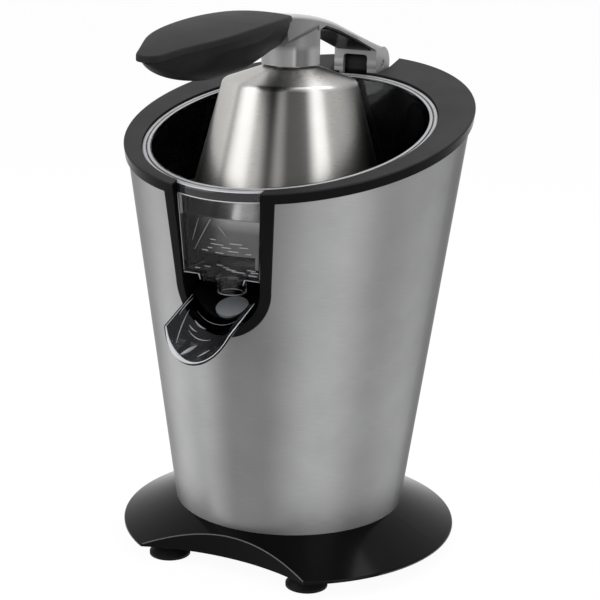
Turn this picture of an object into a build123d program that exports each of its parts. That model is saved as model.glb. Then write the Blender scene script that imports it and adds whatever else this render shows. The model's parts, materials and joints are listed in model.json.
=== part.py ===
from build123d import *
import math
import os

# Motor-driven citrus juicer with a pull-down lever. Millimetres, +Z up, -Y is the front (spout side).
# The origin is on the table, on the axis of the conical steel body. The lever is down.

# Body: a steel cone with a slanted top edge, z = STEEL_TOP_Z + RIM_SLOPE * y
BODY_FOOT_Z = 25.5
BODY_FOOT_R = 68.3
BODY_FLARE = 0.135
STEEL_T = 0.8
STEEL_TOP_Z = 247.1
RIM_SLOPE = 0.2642

# Base
BASE_R = 100.0
BASE_BOTTOM_Z = 9.6
BASE_EDGE_H = 1.4
BASE_WALL = 3.0
BASE_EDGE_ROUND = 0.9
NOTCH_DEPTH_Y = -74.2
NOTCH_R = 137.6
SPIGOT_H = 8.0
SPIGOT_T = 3.5
COVER_T = 3.0
FOOT_R = 12.0
FOOT_LIP = 1.6
FOOT_STEM_R = 4.0
FOOT_NECK_R = 8.5
FOOT_NECK_Z = 5.8
FOOT_HOLLOW_Z = 3.6
FOOT_BARB = 1.2
FOOT_BARB_H = 3.0
FOOT_INSET = 20.8
FOOT_REAR_TURN = 40.9
FOOT_NOTCH_GAP = 15.85902
BASE_SCREW_PLACES = [(-48, -30), (48, -30), (-48, 30), (48, 30)]
BASE_SCREW_L = 9.0
BOSS_R = 5.0
GLAND_RISE = 6.0
GLAND_BORE_R = 3.0
GLAND_WALL = 1.2
GLAND_PROUD = 0.3
GLAND_L = 22.0
GLAND_BOSS_R = 5.8
GLAND_LIP = 2.0

# Screws
SCREW_R = 1.6
SCREW_HEAD_R = 3.2
SCREW_HEAD_H = 1.4
SNUG = 0.05

# Clearances
CLEAR = 0.3
RUN = 0.05

# Top rim
RIM_H = 6.0
RIM_OVERHANG = 1.7
RIM_SKIRT_H = 10.0
RIM_SKIRT_T = 2.2
RIM_EDGE_ROUND = 1.0

# Juice bowl, strainer and the well that they drop into
BOWL_Y = -8.4
BOWL_R = 79.2
BOWL_R_Z = 251.0
BOWL_DRAFT = 0.05
BOWL_T = 1.8
BOWL_FLOOR_Z = 184.0
FLANGE_R = 83.8
FLANGE_T = 2.5
FLANGE_DROP = 1.5
WELL_T = 1.5
WELL_GAP = 0.4
WELL_FLOOR_Z = 181.2
WELL_FLOOR_T = 2.2
NECK_R = 10.6
NECK_TOP_Z = 196.0
CHIMNEY_R = 13.0
CHIMNEY_T = 1.8
CHIMNEY_TOP_Z = 202.0
POCKET_FLOOR_Z = 180.7
POCKET_FRONT_Y = -86.0
POCKET_FRONT_RAKE = 0.079
POCKET_T = 2.2
POCKET_BACK_Y = -60.0
SUMP_DEPTH = 3.1
SUMP_HALF = 12.0
NOZZLE_Y = -74.2
NOZZLE_R = 8.0
NOZZLE_BORE_R = 6.0
NOZZLE_END_Z = 167.7
STRAINER_PLAY = 1.05
STRAINER_T = 1.6
STRAINER_PLATE_Z = 193.5
STRAINER_TOP_Z = 210.0
STRAINER_SLOTS = 30
STRAINER_SLOT_W = 1.8
STRAINER_SLOT_IN_R = 24.0
STRAINER_SLOT_OUT_R = 66.0

# Front slot and the recess behind it
SLOT_MID_Z = 174.0
SLOT_TOP_Z = 241.0
SLOT_IN_Y = -40.0
SLOT_OUT_Y = -120.0
BEZEL_HALF = 29.1
BEZEL_HALF_TOP = 34.7
RECESS_HALF = 23.9
RECESS_HALF_TOP = 27.3
RECESS_WALL = 2.0
RECESS_BACK_Y = -48.0
BEZEL_PROUD = 1.6

# Spout and its drip stop
SPOUT_PIVOT_Y = -54.0
SPOUT_PIVOT_Z = 163.6
SPOUT_SLOPE = 21.8
SPOUT_R = 22.4
SPOUT_T = 2.0
SPOUT_AXIS_Y = -84.0
SPOUT_AXIS_Z = 176.2
SPOUT_SHOULDER = 9.5
SPOUT_BACK_Y = -83.2
SPOUT_LIP = (-119.7, 137.5)
SPOUT_BROW = (-111.5, 156.0)
ROCKER_BACK_Y = -57.0
ROCKER_BARREL_R = 3.5
ROCKER_HALF = 18.5
SPOUT_PIN_R = 1.5
SPOUT_PIN_HALF = 23.2
PAD_R = 9.15
PAD_T = 2.0
PAD_Y = -74.0
PAD_Z = 159.7

# Juicing axis: cone, shaft, presser
JUICE_Y = -9.0
CONE_BASE_Z = 199.0
CONE_TIP_Z = 248.0
CONE_R = 33.0
CONE_CORE_R = 27.5
CONE_CORE_DROP = 4.0
CONE_RIM_T = 2.5
CONE_HUB_Z = 208.0
CONE_CAVITY_R = 15.0
RIB_COUNT = 10
RIB_T = 3.2
SHAFT_R = 6.0
SHAFT_FLAT = 4.8
SHAFT_FOOT_Z = 126.0
SHAFT_HEX = 10.0
SHAFT_TOP_Z = 230.0
PRESS_TRAVEL = 2.0

# Gear train: spur gears with straight flanks
GEAR_WHEEL_TEETH = 60
GEAR_PINION_TEETH = 12
OUT_MODULE = 1.0
IN_MODULE = 0.7
TOOTH_FLANK = 25.0
TOOTH_ADDENDUM = 0.92
TOOTH_DEDENDUM = 1.25
TOOTH_BACKLASH = 0.45
MOTOR_BEARING = -30.0
CASE_R = 49.0
CASE_Y = 6.0
CASE_T = 2.5
CASE_FLOOR_Z = 108.0
CASE_FLOOR_T = 4.0
CASE_TOP_Z = 151.0
CASE_LID_T = 3.0
IN_WHEEL_Z = 117.0
IN_WHEEL_T = 8.0
OUT_WHEEL_Z = 129.0
OUT_WHEEL_T = 12.0
OUT_HUB_R = 11.0
OUT_HUB_TOP_Z = 145.0
IDLER_TOP_Z = 143.0
AXLE_R = 3.0
BUSH_T = 2.6
CASE_POST_PLACES = [(-38, -10), (38, -10), (-36, 30), (36, 30)]
CASE_POST_R = 5.0
CASE_BOSS_R = 3.4
CASE_SCREW_INSET = 3.5
CASE_SCREW_BEARINGS = (70, 135, 190, 350)
CASE_SCREW_L = 14.0
POST_SCREW_L = 12.0

# Press switch under the shaft
CAP_R = 8.0
CAP_T = 3.0
CAP_ARM_L = 19.0
CAP_ARM_HALF = 3.0
SPRING_R = 6.2
SPRING_WIRE_R = 0.6
SWITCH_L = 12.0
SWITCH_W = 8.0
SWITCH_H = 8.5
BUTTON_R = 1.6
BUTTON_DEPTH = 6.0

# Motor
STATOR_R = 30.0
STATOR_BORE_R = 17.6
STATOR_BOTTOM_Z = 58.0
STATOR_TOP_Z = 88.0
AIR_GAP = 0.4
WINDING_H = 7.0
WINDING_IN_R = 19.0
WINDING_OUT_R = 27.0
BRACKET_T = 3.0
BRACKET_RISE = 10.0
BRACKET_WALL = 2.0
MOTOR_SHAFT_R = 3.0
MOTOR_SHAFT_BOTTOM_Z = 33.0
MOTOR_SHAFT_TOP_Z = 127.0
MOTOR_BUSH_R = 6.5
MOTOR_BUSH_H = 8.0
FAN_R = 26.0
FAN_H = 7.0
FAN_BLADES = 8
FAN_BLADE_T = 1.6
FAN_PLATE_T = 1.6
FAN_HUB_T = 3.0
MOTOR_SCREW_PITCH_R = 22.0
MOTOR_SCREW_BEARINGS = (60, 180, 300)
VENT_COUNT = 6
VENT_R = 4.2
VENT_PITCH_R = 16.0

# Lever hinge
HINGE_Y = 88.0
HINGE_Z = 277.5
KNUCKLE_R = 6.8
KNUCKLE_HALF = 9.5
ARM_HALF = 14.0
CHEEK_T = 3.5
BARREL_R = 10.3
BOX_FRONT_Y = 78.0
BOX_FRONT_T = 2.5
BOX_WINDOW_HALF = 8.0
BOX_WINDOW_ROUND = 2.2
HINGE_PIN_R = 2.5
HINGE_FLOOR_Z = 266.4
HINGE_BLOCK_BOTTOM_Z = 258.0
HINGE_BLOCK_HALF = 20.0
HINGE_SCREW_X = (-5, 5)
HINGE_SCREW_GRIP = 5.0
BOX_EDGE_ROUND = 4.0
NOTCH_HALF = 14.8
NOTCH_CHAMFER = 4.5

# Bounds beyond the lever, for its cutting forms
LEVER_FLOOR_Z = 196.0
LEVER_ROOF_Z = 400.0
LEVER_REAR_Y = 130.0
LEVER_WIDE = 60.0

# Lever arm: side outline points are (y, z)
ARM_TOP = [(-50, 317.4), (-10, 313.2), (36, 302.9), (64, 294.6)]
ARM_UNDER = [(BOX_FRONT_Y, 286.5), (49, 295.8), (23, 303), (1, 307.5)]
ARM_CHIN = [(-26, 302.3), (-50, 298.8)]
ARM_EDGE_ROUND = 2.0
ARM_CHIN_ROUND = 5.0
ARM_FRONT_HALF = 17.5
TONGUE_HALF = 9.0
TONGUE_END_Y = -92.0
TONGUE_TOP_Z = 310.0
TONGUE_BOTTOM_Z = 300.0
LINER_HALF = 11.0
LINER_T = 1.0
LINER_FRONT_Y = 14.0
LINER_GAP = 2.0
STEM_R = 16.5
STEM_BOTTOM_Z = 286.1
STEM_CAVITY_R = 12.4
STEM_CAVITY_TOP_Z = 301.5
CAP_DISC_R = 13.0
CAP_DISC_Y = -6.0
CAP_DISC_T = 1.6

# Handle
HANDLE_BACK_TOP_Y = -50.0
HANDLE_BACK_TOP_Z = 321.0
HANDLE_BACK_LOW_Y = -42.0
HANDLE_BACK_LOW_Z = 291.0
HANDLE_SIDE = [(17.5, -40), (24.5, -88), (20, -128), (9.5, -154), (0, -163)]
HANDLE_CROWN = [(-40, 317.9), (-100, 315.6), (-166, 303.6)]
HANDLE_CROSS_R = 150.0
HANDLE_TOP_T = 3.0
HANDLE_EDGE_ROUND = 1.4
HANDLE_BELLY = [(-40, 296.0), (-70, 291.2), (-105, 287.2), (-135, 290.4), (-153, 296.0), (-160, 300.0)]
HANDLE_SCREW_Y = [-62, -82]
HANDLE_SCREW_L = 10.0
HANDLE_SCREW_DROP = 4.0

# Presser: dome, fruit cup and the hub that hangs from the stem
DOME_FOOT_Z = 199.0
DOME_FOOT_R = 59.0
DOME_SHOULDER_Z = 277.0
DOME_SHOULDER_R = 38.1
DOME_TOP_Z = 285.2
DOME_TOP_R = 15.0
DOME_T = 1.0
DOME_SHOULDER_ROUND = 4.0
CUP_FOOT_Z = 209.0
CUP_FOOT_R = 47.0
CUP_MID = (40.5, 236.0)
CUP_APEX_Z = 264.0
CUP_T = 2.0
CUP_POST_R = 10.0
CUP_RIBS = 12
HUB_R = 11.0
HUB_TOP_Z = 300.0
PRESSER_PIVOT_Z = 295.0
PRESSER_PIN_R = 2.5
PRESSER_PIN_HALF = 14.5

# Derived places
OUT_CENTRE_DIST = OUT_MODULE * (GEAR_WHEEL_TEETH + GEAR_PINION_TEETH) / 2
IN_CENTRE_DIST = IN_MODULE * (GEAR_WHEEL_TEETH + GEAR_PINION_TEETH) / 2
IDLER_Y = JUICE_Y + OUT_CENTRE_DIST
MOTOR_X = IN_CENTRE_DIST * math.cos(math.radians(MOTOR_BEARING))
MOTOR_Y = IDLER_Y + IN_CENTRE_DIST * math.sin(math.radians(MOTOR_BEARING))
GLAND_Z = BASE_BOTTOM_Z + GLAND_RISE
GLAND_END_Y = BASE_R + GLAND_PROUD
FLANGE_TOP = RIM_H - FLANGE_DROP
FLANGE_BOTTOM = FLANGE_TOP - FLANGE_T
CASE_FLOOR_TOP_Z = CASE_FLOOR_Z + CASE_FLOOR_T
PIN_SEAT_Z = SHAFT_FOOT_Z - CAP_T


def turned(points, x=0.0, y=0.0):
    """A solid of revolution from (radius, z) points, on a vertical axis at x, y."""
    profile = Plane.XZ * make_face(Polyline(*points, close=True))
    return Pos(x, y, 0) * revolve(profile, axis=Axis.Z)


def tube(r_out, r_in, z0, z1, x=0.0, y=0.0):
    """A vertical tube, or a rod where r_in is 0."""
    return turned([(r_in, z0), (r_out, z0), (r_out, z1), (r_in, z1)], x, y)


def rod_x(radius, half, y, z):
    """A rod along X, centred on X = 0."""
    return Pos(0, y, z) * Rot(0, 90, 0) * Cylinder(radius, 2 * half)


def rod_y(radius, y0, y1, z):
    """A rod along Y on X = 0."""
    return Pos(0, (y0 + y1) / 2, z) * Rot(90, 0, 0) * Cylinder(radius, y1 - y0)


def block(x0, x1, y0, y1, z0, z1):
    """A box between two corners."""
    return Pos((x0 + x1) / 2, (y0 + y1) / 2, (z0 + z1) / 2) * Box(x1 - x0, y1 - y0, z1 - z0)


def side_prism(points, half):
    """A prism across X from a closed outline of (y, z) points."""
    return extrude(Plane.YZ * make_face(Polyline(*points, close=True)), amount=half, both=True)


def joined(shapes):
    """The union of several shapes."""
    total = shapes[0]
    for shape in shapes[1:]:
        total = total + shape
    return total


def body_r(z, extra=0.0):
    """Outer radius of the steel body at a height, plus an offset."""
    return BODY_FOOT_R + BODY_FLARE * (z - BODY_FOOT_Z) + extra


def body_cone(extra, z0, z1):
    """The body's cone, offset outwards, between two heights."""
    return turned([(0, z0), (body_r(z0, extra), z0), (body_r(z1, extra), z1), (0, z1)])


def slant(offset):
    """The plane of the body's slanted top edge, raised by an offset."""
    return Plane(origin=(0, 0, STEEL_TOP_Z + offset), x_dir=(1, 0, 0), z_dir=(0, -RIM_SLOPE, 1))


def under(shape, offset):
    """The part of a shape below the slanted plane."""
    return split(shape, bisect_by=slant(offset), keep=Keep.BOTTOM)


def over(shape, offset):
    """The part of a shape above the slanted plane."""
    return split(shape, bisect_by=slant(offset), keep=Keep.TOP)


def slot_prism(half, half_top, y0, y1):
    """The front slot's outline, round below and flaring upwards, as a prism from y0 forward to y1."""
    outline = make_face([
        Line((-half, SLOT_MID_Z), (-half_top, SLOT_TOP_Z)),
        Line((-half_top, SLOT_TOP_Z), (half_top, SLOT_TOP_Z)),
        Line((half_top, SLOT_TOP_Z), (half, SLOT_MID_Z)),
        ThreePointArc((half, SLOT_MID_Z), (0, SLOT_MID_Z - half), (-half, SLOT_MID_Z)),
    ])
    return Pos(0, y0, 0) * extrude(Plane.XZ * outline, amount=y0 - y1)


def bowl_r(z, extra=0.0):
    """Inner radius of the juice bowl at a height, plus an offset."""
    return BOWL_R + BOWL_DRAFT * (z - BOWL_R_Z) + extra


def bowl_cone(extra, z0, z1):
    """The bowl's inner form, offset outwards, between two heights."""
    return turned([(0, z0), (bowl_r(z0, extra), z0), (bowl_r(z1, extra), z1), (0, z1)], 0, BOWL_Y)


def ring_places(x, y, radius, bearings):
    """Points on a circle about x, y at the given bearings in degrees."""
    turns = [math.radians(bearing) for bearing in bearings]
    return [(x + radius * math.cos(a), y + radius * math.sin(a)) for a in turns]


def screw(x, y, seat_z, length, up=True):
    """A plain screw: its head's seat is at seat_z and its shank runs up or down from there."""
    sign = 1 if up else -1
    crown = seat_z - sign * SCREW_HEAD_H
    end = seat_z + sign * length
    return turned([(0, crown), (SCREW_HEAD_R, crown), (SCREW_HEAD_R, seat_z), (SCREW_R, seat_z),
                   (SCREW_R, end), (0, end)], x, y)


def foot_places():
    """The places of the four feet by name, set in from the base's edge, the front two clear of the notch."""
    ring = BASE_R - FOOT_INSET
    notch_y = NOTCH_R - NOTCH_DEPTH_Y
    reach = NOTCH_R + FOOT_NOTCH_GAP
    turn = math.degrees(math.acos((ring ** 2 + notch_y ** 2 - reach ** 2) / (2 * ring * notch_y)))
    bearings = {"front_left": 270 - turn, "front_right": 270 + turn,
                "rear_left": 90 + FOOT_REAR_TURN, "rear_right": 90 - FOOT_REAR_TURN}
    return dict(zip(bearings, ring_places(0, 0, ring, bearings.values())))


def notch_cylinder(extra):
    """The bite in the front of the base that leaves room for a glass."""
    return tube(NOTCH_R + extra, 0, 0, STEEL_TOP_Z, 0, NOTCH_DEPTH_Y - NOTCH_R)


# Base and feet


def base_form(inset, bottom):
    """The base's outer form, or the space inside it where inset is the wall."""
    edge = BASE_R - inset
    edge_z = BASE_BOTTOM_Z + BASE_EDGE_H
    top = BODY_FOOT_Z - inset
    return turned([(0, bottom), (edge, bottom), (edge, edge_z - inset * 0.5),
                   (body_r(BODY_FOOT_Z), top), (0, top)])


def base_space_r(z):
    """Inner radius of the base's sloping skirt at a height."""
    low = BASE_BOTTOM_Z + BASE_EDGE_H - BASE_WALL * 0.5
    run = BASE_R - BASE_WALL - body_r(BODY_FOOT_Z)
    return BASE_R - BASE_WALL - run * (z - low) / (BODY_FOOT_Z - BASE_WALL - low)


def base_shell():
    """Moulded base: a sloping skirt, a bitten front and a spigot that the steel body sits around."""
    form = base_form(0, BASE_BOTTOM_Z) - notch_cylinder(0)
    form = fillet(form.edges().filter_by(GeomType.CIRCLE).group_by(Axis.Z)[1], BASE_EDGE_ROUND)
    space = base_form(BASE_WALL, 0) - notch_cylinder(BASE_WALL)
    boss_z = BASE_BOTTOM_Z + COVER_T
    bosses = joined([tube(BOSS_R, 0, boss_z, BODY_FOOT_Z, x, y) for x, y in BASE_SCREW_PLACES])
    shell = (form - space) + (bosses & form)
    shell += rod_y(GLAND_BOSS_R, GLAND_END_Y - GLAND_L, GLAND_END_Y, GLAND_Z)
    spigot_r = body_r(BODY_FOOT_Z, -STEEL_T - CLEAR)
    shell += tube(spigot_r, spigot_r - SPIGOT_T, BODY_FOOT_Z, BODY_FOOT_Z + SPIGOT_H)
    for x, y in BASE_SCREW_PLACES:
        shell -= tube(SCREW_R + SNUG, 0, 0, boss_z + BASE_SCREW_L, x, y)
    return shell - rod_y(GLAND_BORE_R + GLAND_WALL + SNUG, 0, BASE_R * 2, GLAND_Z)


def cord_gland():
    """Rubber grommet with a lip, in the rear boss of the base; the mains cord would pass through it."""
    sleeve = rod_y(GLAND_BORE_R + GLAND_WALL, GLAND_END_Y - GLAND_L, GLAND_END_Y, GLAND_Z)
    lip = rod_y(GLAND_BOSS_R, GLAND_END_Y, GLAND_END_Y + GLAND_LIP, GLAND_Z)
    return sleeve + lip - rod_y(GLAND_BORE_R, 0, BASE_R * 2, GLAND_Z)


def bottom_cover():
    """Plate that closes the base from below and carries the feet."""
    plate = tube(base_space_r(BASE_BOTTOM_Z + COVER_T) - CLEAR, 0, BASE_BOTTOM_Z, BASE_BOTTOM_Z + COVER_T)
    plate -= notch_cylinder(BASE_WALL + CLEAR)
    gland_half = GLAND_BOSS_R + CLEAR
    plate -= block(-gland_half, gland_half, GLAND_END_Y - GLAND_L - CLEAR, BASE_R, 0, BODY_FOOT_Z)
    for x, y in BASE_SCREW_PLACES:
        plate -= tube(SCREW_R + CLEAR, 0, 0, BODY_FOOT_Z, x, y)
        plate -= tube(SCREW_HEAD_R + CLEAR, 0, 0, BASE_BOTTOM_Z + SCREW_HEAD_H, x, y)
    for x, y in foot_places().values():
        plate -= tube(FOOT_STEM_R + SNUG, 0, 0, BODY_FOOT_Z, x, y)
    return plate


def suction_foot(x, y):
    """Rubber suction cup with a stem that snaps through the bottom cover."""
    cover_top = BASE_BOTTOM_Z + COVER_T
    barb_top = cover_top + FOOT_BARB_H
    return turned([
        (FOOT_R - FOOT_LIP, 0), (FOOT_R, 0), (FOOT_R, FOOT_LIP), (FOOT_NECK_R, FOOT_NECK_Z),
        (FOOT_NECK_R, BASE_BOTTOM_Z), (FOOT_STEM_R, BASE_BOTTOM_Z), (FOOT_STEM_R, cover_top),
        (FOOT_STEM_R + FOOT_BARB, cover_top), (FOOT_STEM_R - FOOT_BARB, barb_top), (0, barb_top),
        (0, FOOT_HOLLOW_Z)], x, y)


def base_screws():
    """The four screws that hold the bottom cover."""
    seat = BASE_BOTTOM_Z + SCREW_HEAD_H
    return Compound([screw(x, y, seat, BASE_SCREW_L) for x, y in BASE_SCREW_PLACES])


# Body, rim and well


def body_shell():
    """Brushed steel cone with a slanted top and the front slot."""
    top = STEEL_TOP_Z + 40
    shell = body_cone(0, BODY_FOOT_Z, top) - body_cone(-STEEL_T, BODY_FOOT_Z, top)
    hole = RECESS_WALL + CLEAR
    return under(shell, 0) - slot_prism(RECESS_HALF + hole, RECESS_HALF_TOP + hole, SLOT_IN_Y, SLOT_OUT_Y)


def hinge_notch():
    """The trough in the rear of the rim that the lever's hinge end drops into, with chamfered sides."""
    top = HINGE_Z + 20
    rim_z = STEEL_TOP_Z + RIM_H + RIM_SLOPE * HINGE_Y
    wide = NOTCH_HALF + NOTCH_CHAMFER
    low = rim_z - NOTCH_CHAMFER
    section = [(-NOTCH_HALF, HINGE_FLOOR_Z), (NOTCH_HALF, HINGE_FLOOR_Z), (NOTCH_HALF, low), (wide, rim_z),
               (wide, top), (-wide, top), (-wide, rim_z), (-NOTCH_HALF, low)]
    upper = extrude(Plane.XZ * make_face(Polyline(*section, close=True)), amount=-130)
    front = HINGE_Y - BARREL_R - 2.5
    return upper & block(-wide, wide, front, 130, HINGE_FLOOR_Z, top)


def top_rim():
    """Black moulding: slanted rim with the bowl's seat, hinge trough, front bezel and spout recess."""
    low, high = SLOT_MID_Z - 60, STEEL_TOP_Z + 60
    ring = over(under(body_cone(RIM_OVERHANG, low, high), RIM_H), 0)
    ring = fillet(ring.edges().group_by(SortBy.LENGTH)[-1], RIM_EDGE_ROUND)
    ring -= bowl_cone(BOWL_T + WELL_GAP, low, high)
    gap = -STEEL_T - CLEAR
    skirt = body_cone(gap, low, high) - body_cone(gap - RIM_SKIRT_T, low, high)
    skirt = under(over(skirt, -RIM_SKIRT_H), 0)
    pedestal = block(-HINGE_BLOCK_HALF, HINGE_BLOCK_HALF, HINGE_Y - BARREL_R - 1, 120,
                     HINGE_BLOCK_BOTTOM_Z, high)
    pedestal = under(pedestal & body_cone(gap, low, high), 0)
    frame = slot_prism(BEZEL_HALF, BEZEL_HALF_TOP, SLOT_IN_Y, SLOT_OUT_Y)
    opening = slot_prism(RECESS_HALF, RECESS_HALF_TOP, RECESS_BACK_Y - RECESS_WALL, SLOT_OUT_Y)
    flange = (body_cone(BEZEL_PROUD, low, high) - body_cone(SNUG, low, high)) & frame
    sleeve = slot_prism(RECESS_HALF + RECESS_WALL, RECESS_HALF_TOP + RECESS_WALL, RECESS_BACK_Y,
                        SLOT_OUT_Y)
    sleeve = sleeve & body_cone(BEZEL_PROUD, low, high)
    well_r = bowl_r(STEEL_TOP_Z, BOWL_T + WELL_GAP + WELL_T + CLEAR)
    sleeve -= tube(well_r, 0, WELL_FLOOR_Z - WELL_FLOOR_T - CLEAR, high, 0, BOWL_Y)
    bezel = under(flange, RIM_H) + under(sleeve, RIM_H)
    rim = ring + skirt + pedestal + bezel
    rim -= over(tube(FLANGE_R + CLEAR, 0, low, high, 0, BOWL_Y), FLANGE_BOTTOM)
    rim = rim - opening - hinge_notch()
    rim -= rod_x(SPOUT_PIN_R + SNUG, SPOUT_PIN_HALF + SNUG, SPOUT_PIVOT_Y, SPOUT_PIVOT_Z)
    for x in HINGE_SCREW_X:
        rim -= tube(SCREW_R + SNUG, 0, HINGE_BLOCK_BOTTOM_Z - 5, HINGE_Z, x, HINGE_Y)
    return rim


def bowl_well():
    """Black cup under the rim: it takes the juice bowl, carries the shaft's neck and the gear case."""
    gap = BOWL_T + WELL_GAP
    top = STEEL_TOP_Z + 60
    cup = bowl_cone(gap + WELL_T, WELL_FLOOR_Z - WELL_FLOOR_T, top) - bowl_cone(gap, WELL_FLOOR_Z, top)
    cup = under(cup, 0)
    cup += tube(NECK_R, 0, CASE_TOP_Z + 15, NECK_TOP_Z, 0, JUICE_Y)
    for x, y in CASE_POST_PLACES:
        cup += tube(CASE_POST_R, 0, CASE_TOP_Z, WELL_FLOOR_Z - WELL_FLOOR_T, x, y)
        cup -= tube(SCREW_R + SNUG, 0, CASE_TOP_Z - CASE_LID_T, CASE_TOP_Z + POST_SCREW_L, x, y)
    hole = RECESS_WALL + CLEAR
    cup -= slot_prism(RECESS_HALF + hole, RECESS_HALF_TOP + hole, POCKET_BACK_Y, SLOT_OUT_Y)
    cup -= tube(SHAFT_R + 0.6, 0, CASE_TOP_Z, NECK_TOP_Z, 0, JUICE_Y)
    return cup - tube(SHAFT_R + RUN + BUSH_T, 0, CASE_TOP_Z, WELL_FLOOR_Z, 0, JUICE_Y)


def neck_bush():
    """Bronze bush for the shaft in the neck of the well."""
    return tube(SHAFT_R + RUN + BUSH_T, SHAFT_R + RUN, CASE_TOP_Z + 18, WELL_FLOOR_Z, 0, JUICE_Y)


def shaft_seal():
    """Rubber ring on top of the neck that keeps juice off the shaft bush."""
    return tube(NECK_R, SHAFT_R + CLEAR, NECK_TOP_Z, NECK_TOP_Z + 3, 0, JUICE_Y)


def hinge_post():
    """Black knuckle that stands in the rim's trough, between the cheeks of the lever."""
    foot = block(-KNUCKLE_HALF, KNUCKLE_HALF, HINGE_Y - KNUCKLE_R, HINGE_Y + KNUCKLE_R,
                 HINGE_FLOOR_Z, HINGE_Z)
    post = foot + rod_x(KNUCKLE_R, KNUCKLE_HALF, HINGE_Y, HINGE_Z)
    post -= rod_x(HINGE_PIN_R + SNUG, KNUCKLE_HALF + 1, HINGE_Y, HINGE_Z)
    for x in HINGE_SCREW_X:
        post -= tube(SCREW_R + SNUG, 0, HINGE_FLOOR_Z - 1, HINGE_FLOOR_Z + HINGE_SCREW_GRIP + 1, x, HINGE_Y)
    return post


def hinge_pin():
    """Steel pin through the knuckle and both cheeks."""
    return rod_x(HINGE_PIN_R, ARM_HALF - 0.4, HINGE_Y, HINGE_Z)


def hinge_screws():
    """The two screws that hold the knuckle from below."""
    length = HINGE_FLOOR_Z + HINGE_SCREW_GRIP - HINGE_BLOCK_BOTTOM_Z
    return Compound([screw(x, HINGE_Y, HINGE_BLOCK_BOTTOM_Z, length) for x in HINGE_SCREW_X])


# Bowl and strainer


def pocket_form(wall):
    """The bowl's square front pocket, inset by a wall."""
    high = STEEL_TOP_Z
    front_low = POCKET_FRONT_Y + wall
    front_high = front_low - POCKET_FRONT_RAKE * (high - POCKET_FLOOR_Z)
    bottom = POCKET_FLOOR_Z - POCKET_T + wall
    back = POCKET_BACK_Y - CLEAR - wall
    side = side_prism([(back, bottom), (front_low, bottom), (front_high, high), (back, high)], BEZEL_HALF)
    play = CLEAR + 0.2 + wall
    return side & slot_prism(RECESS_HALF - play, RECESS_HALF_TOP - play, RECESS_BACK_Y,
                             SLOT_OUT_Y) & block(-BEZEL_HALF, BEZEL_HALF, SLOT_OUT_Y, 0, bottom, high)


def sump_form(wall):
    """The deeper channel in the pocket's floor, over the nozzle."""
    bottom = POCKET_FLOOR_Z - POCKET_T - SUMP_DEPTH + wall
    back = POCKET_BACK_Y - CLEAR - wall
    half = SUMP_HALF - wall
    return block(-half, half, POCKET_FRONT_Y + wall, back, bottom, POCKET_FLOOR_Z + 0.5)


def juice_bowl():
    """Clear juice collector: round bowl, front pocket with a flat window, nozzle and shaft chimney."""
    top = STEEL_TOP_Z + 60
    outer = bowl_cone(BOWL_T, BOWL_FLOOR_Z - POCKET_T, top) + pocket_form(0) + sump_form(0)
    sump_bottom = POCKET_FLOOR_Z - POCKET_T - SUMP_DEPTH
    outer += tube(NOZZLE_R, 0, NOZZLE_END_Z, sump_bottom + 1, 0, NOZZLE_Y)
    inner = bowl_cone(0, BOWL_FLOOR_Z, top) + pocket_form(POCKET_T) + sump_form(POCKET_T)
    inner += tube(NOZZLE_BORE_R, 0, NOZZLE_END_Z - 1, POCKET_FLOOR_Z, 0, NOZZLE_Y)
    bowl = under(outer, FLANGE_TOP)
    flange = over(under(tube(FLANGE_R, 0, SLOT_MID_Z, top, 0, BOWL_Y), FLANGE_TOP), FLANGE_BOTTOM)
    bowl = bowl + flange - inner
    bowl += tube(CHIMNEY_R, 0, BOWL_FLOOR_Z - POCKET_T, CHIMNEY_TOP_Z, 0, JUICE_Y)
    return bowl - tube(CHIMNEY_R - CHIMNEY_T, 0, BOWL_FLOOR_Z - 5, CHIMNEY_TOP_Z + 1, 0, JUICE_Y)


def strainer():
    """Basket with a slotted floor that stands in the bowl and holds back the pulp."""
    r_in = CHIMNEY_R + CLEAR
    r_out = bowl_r(BOWL_FLOOR_Z) - abs(JUICE_Y - BOWL_Y) - STRAINER_PLAY
    wall_in = r_out - STRAINER_T
    plate_top = STRAINER_PLATE_Z + STRAINER_T
    collar_z = STRAINER_PLATE_Z - 5
    basket = turned([
        (r_in, collar_z), (r_in + STRAINER_T, collar_z), (r_in + STRAINER_T, STRAINER_PLATE_Z),
        (wall_in, STRAINER_PLATE_Z), (wall_in, BOWL_FLOOR_Z), (r_out, BOWL_FLOOR_Z),
        (r_out, STRAINER_TOP_Z), (wall_in, STRAINER_TOP_Z), (wall_in, plate_top),
        (r_in, plate_top)], 0, JUICE_Y)
    basket -= block(-SUMP_HALF - 6, SUMP_HALF + 6, SLOT_OUT_Y, POCKET_BACK_Y,
                    BOWL_FLOOR_Z, STRAINER_PLATE_Z - 3)
    slots = []
    for i in range(STRAINER_SLOTS):
        slot = block(STRAINER_SLOT_IN_R, STRAINER_SLOT_OUT_R, -STRAINER_SLOT_W / 2, STRAINER_SLOT_W / 2,
                     STRAINER_PLATE_Z - 1, plate_top + 1)
        slots.append(Pos(0, JUICE_Y, 0) * Rot(0, 0, 360 * (i + 0.5) / STRAINER_SLOTS) * slot)
    return basket - slots


# Cone, shaft and gears


def ogive(radius, base_z, tip_z):
    """A pointed dome: the reamer's envelope."""
    height = tip_z - base_z
    mid = (radius * 0.62, base_z + height * 0.5)
    outline = make_face([
        Line((0, base_z), (radius, base_z)),
        Spline((radius, base_z), mid, (0, tip_z), tangents=[(-0.25, 1), (-1, 0.35)]),
        Line((0, tip_z), (0, base_z)),
    ])
    return Pos(0, JUICE_Y, 0) * revolve(Plane.XZ * outline, axis=Axis.Z)


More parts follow.
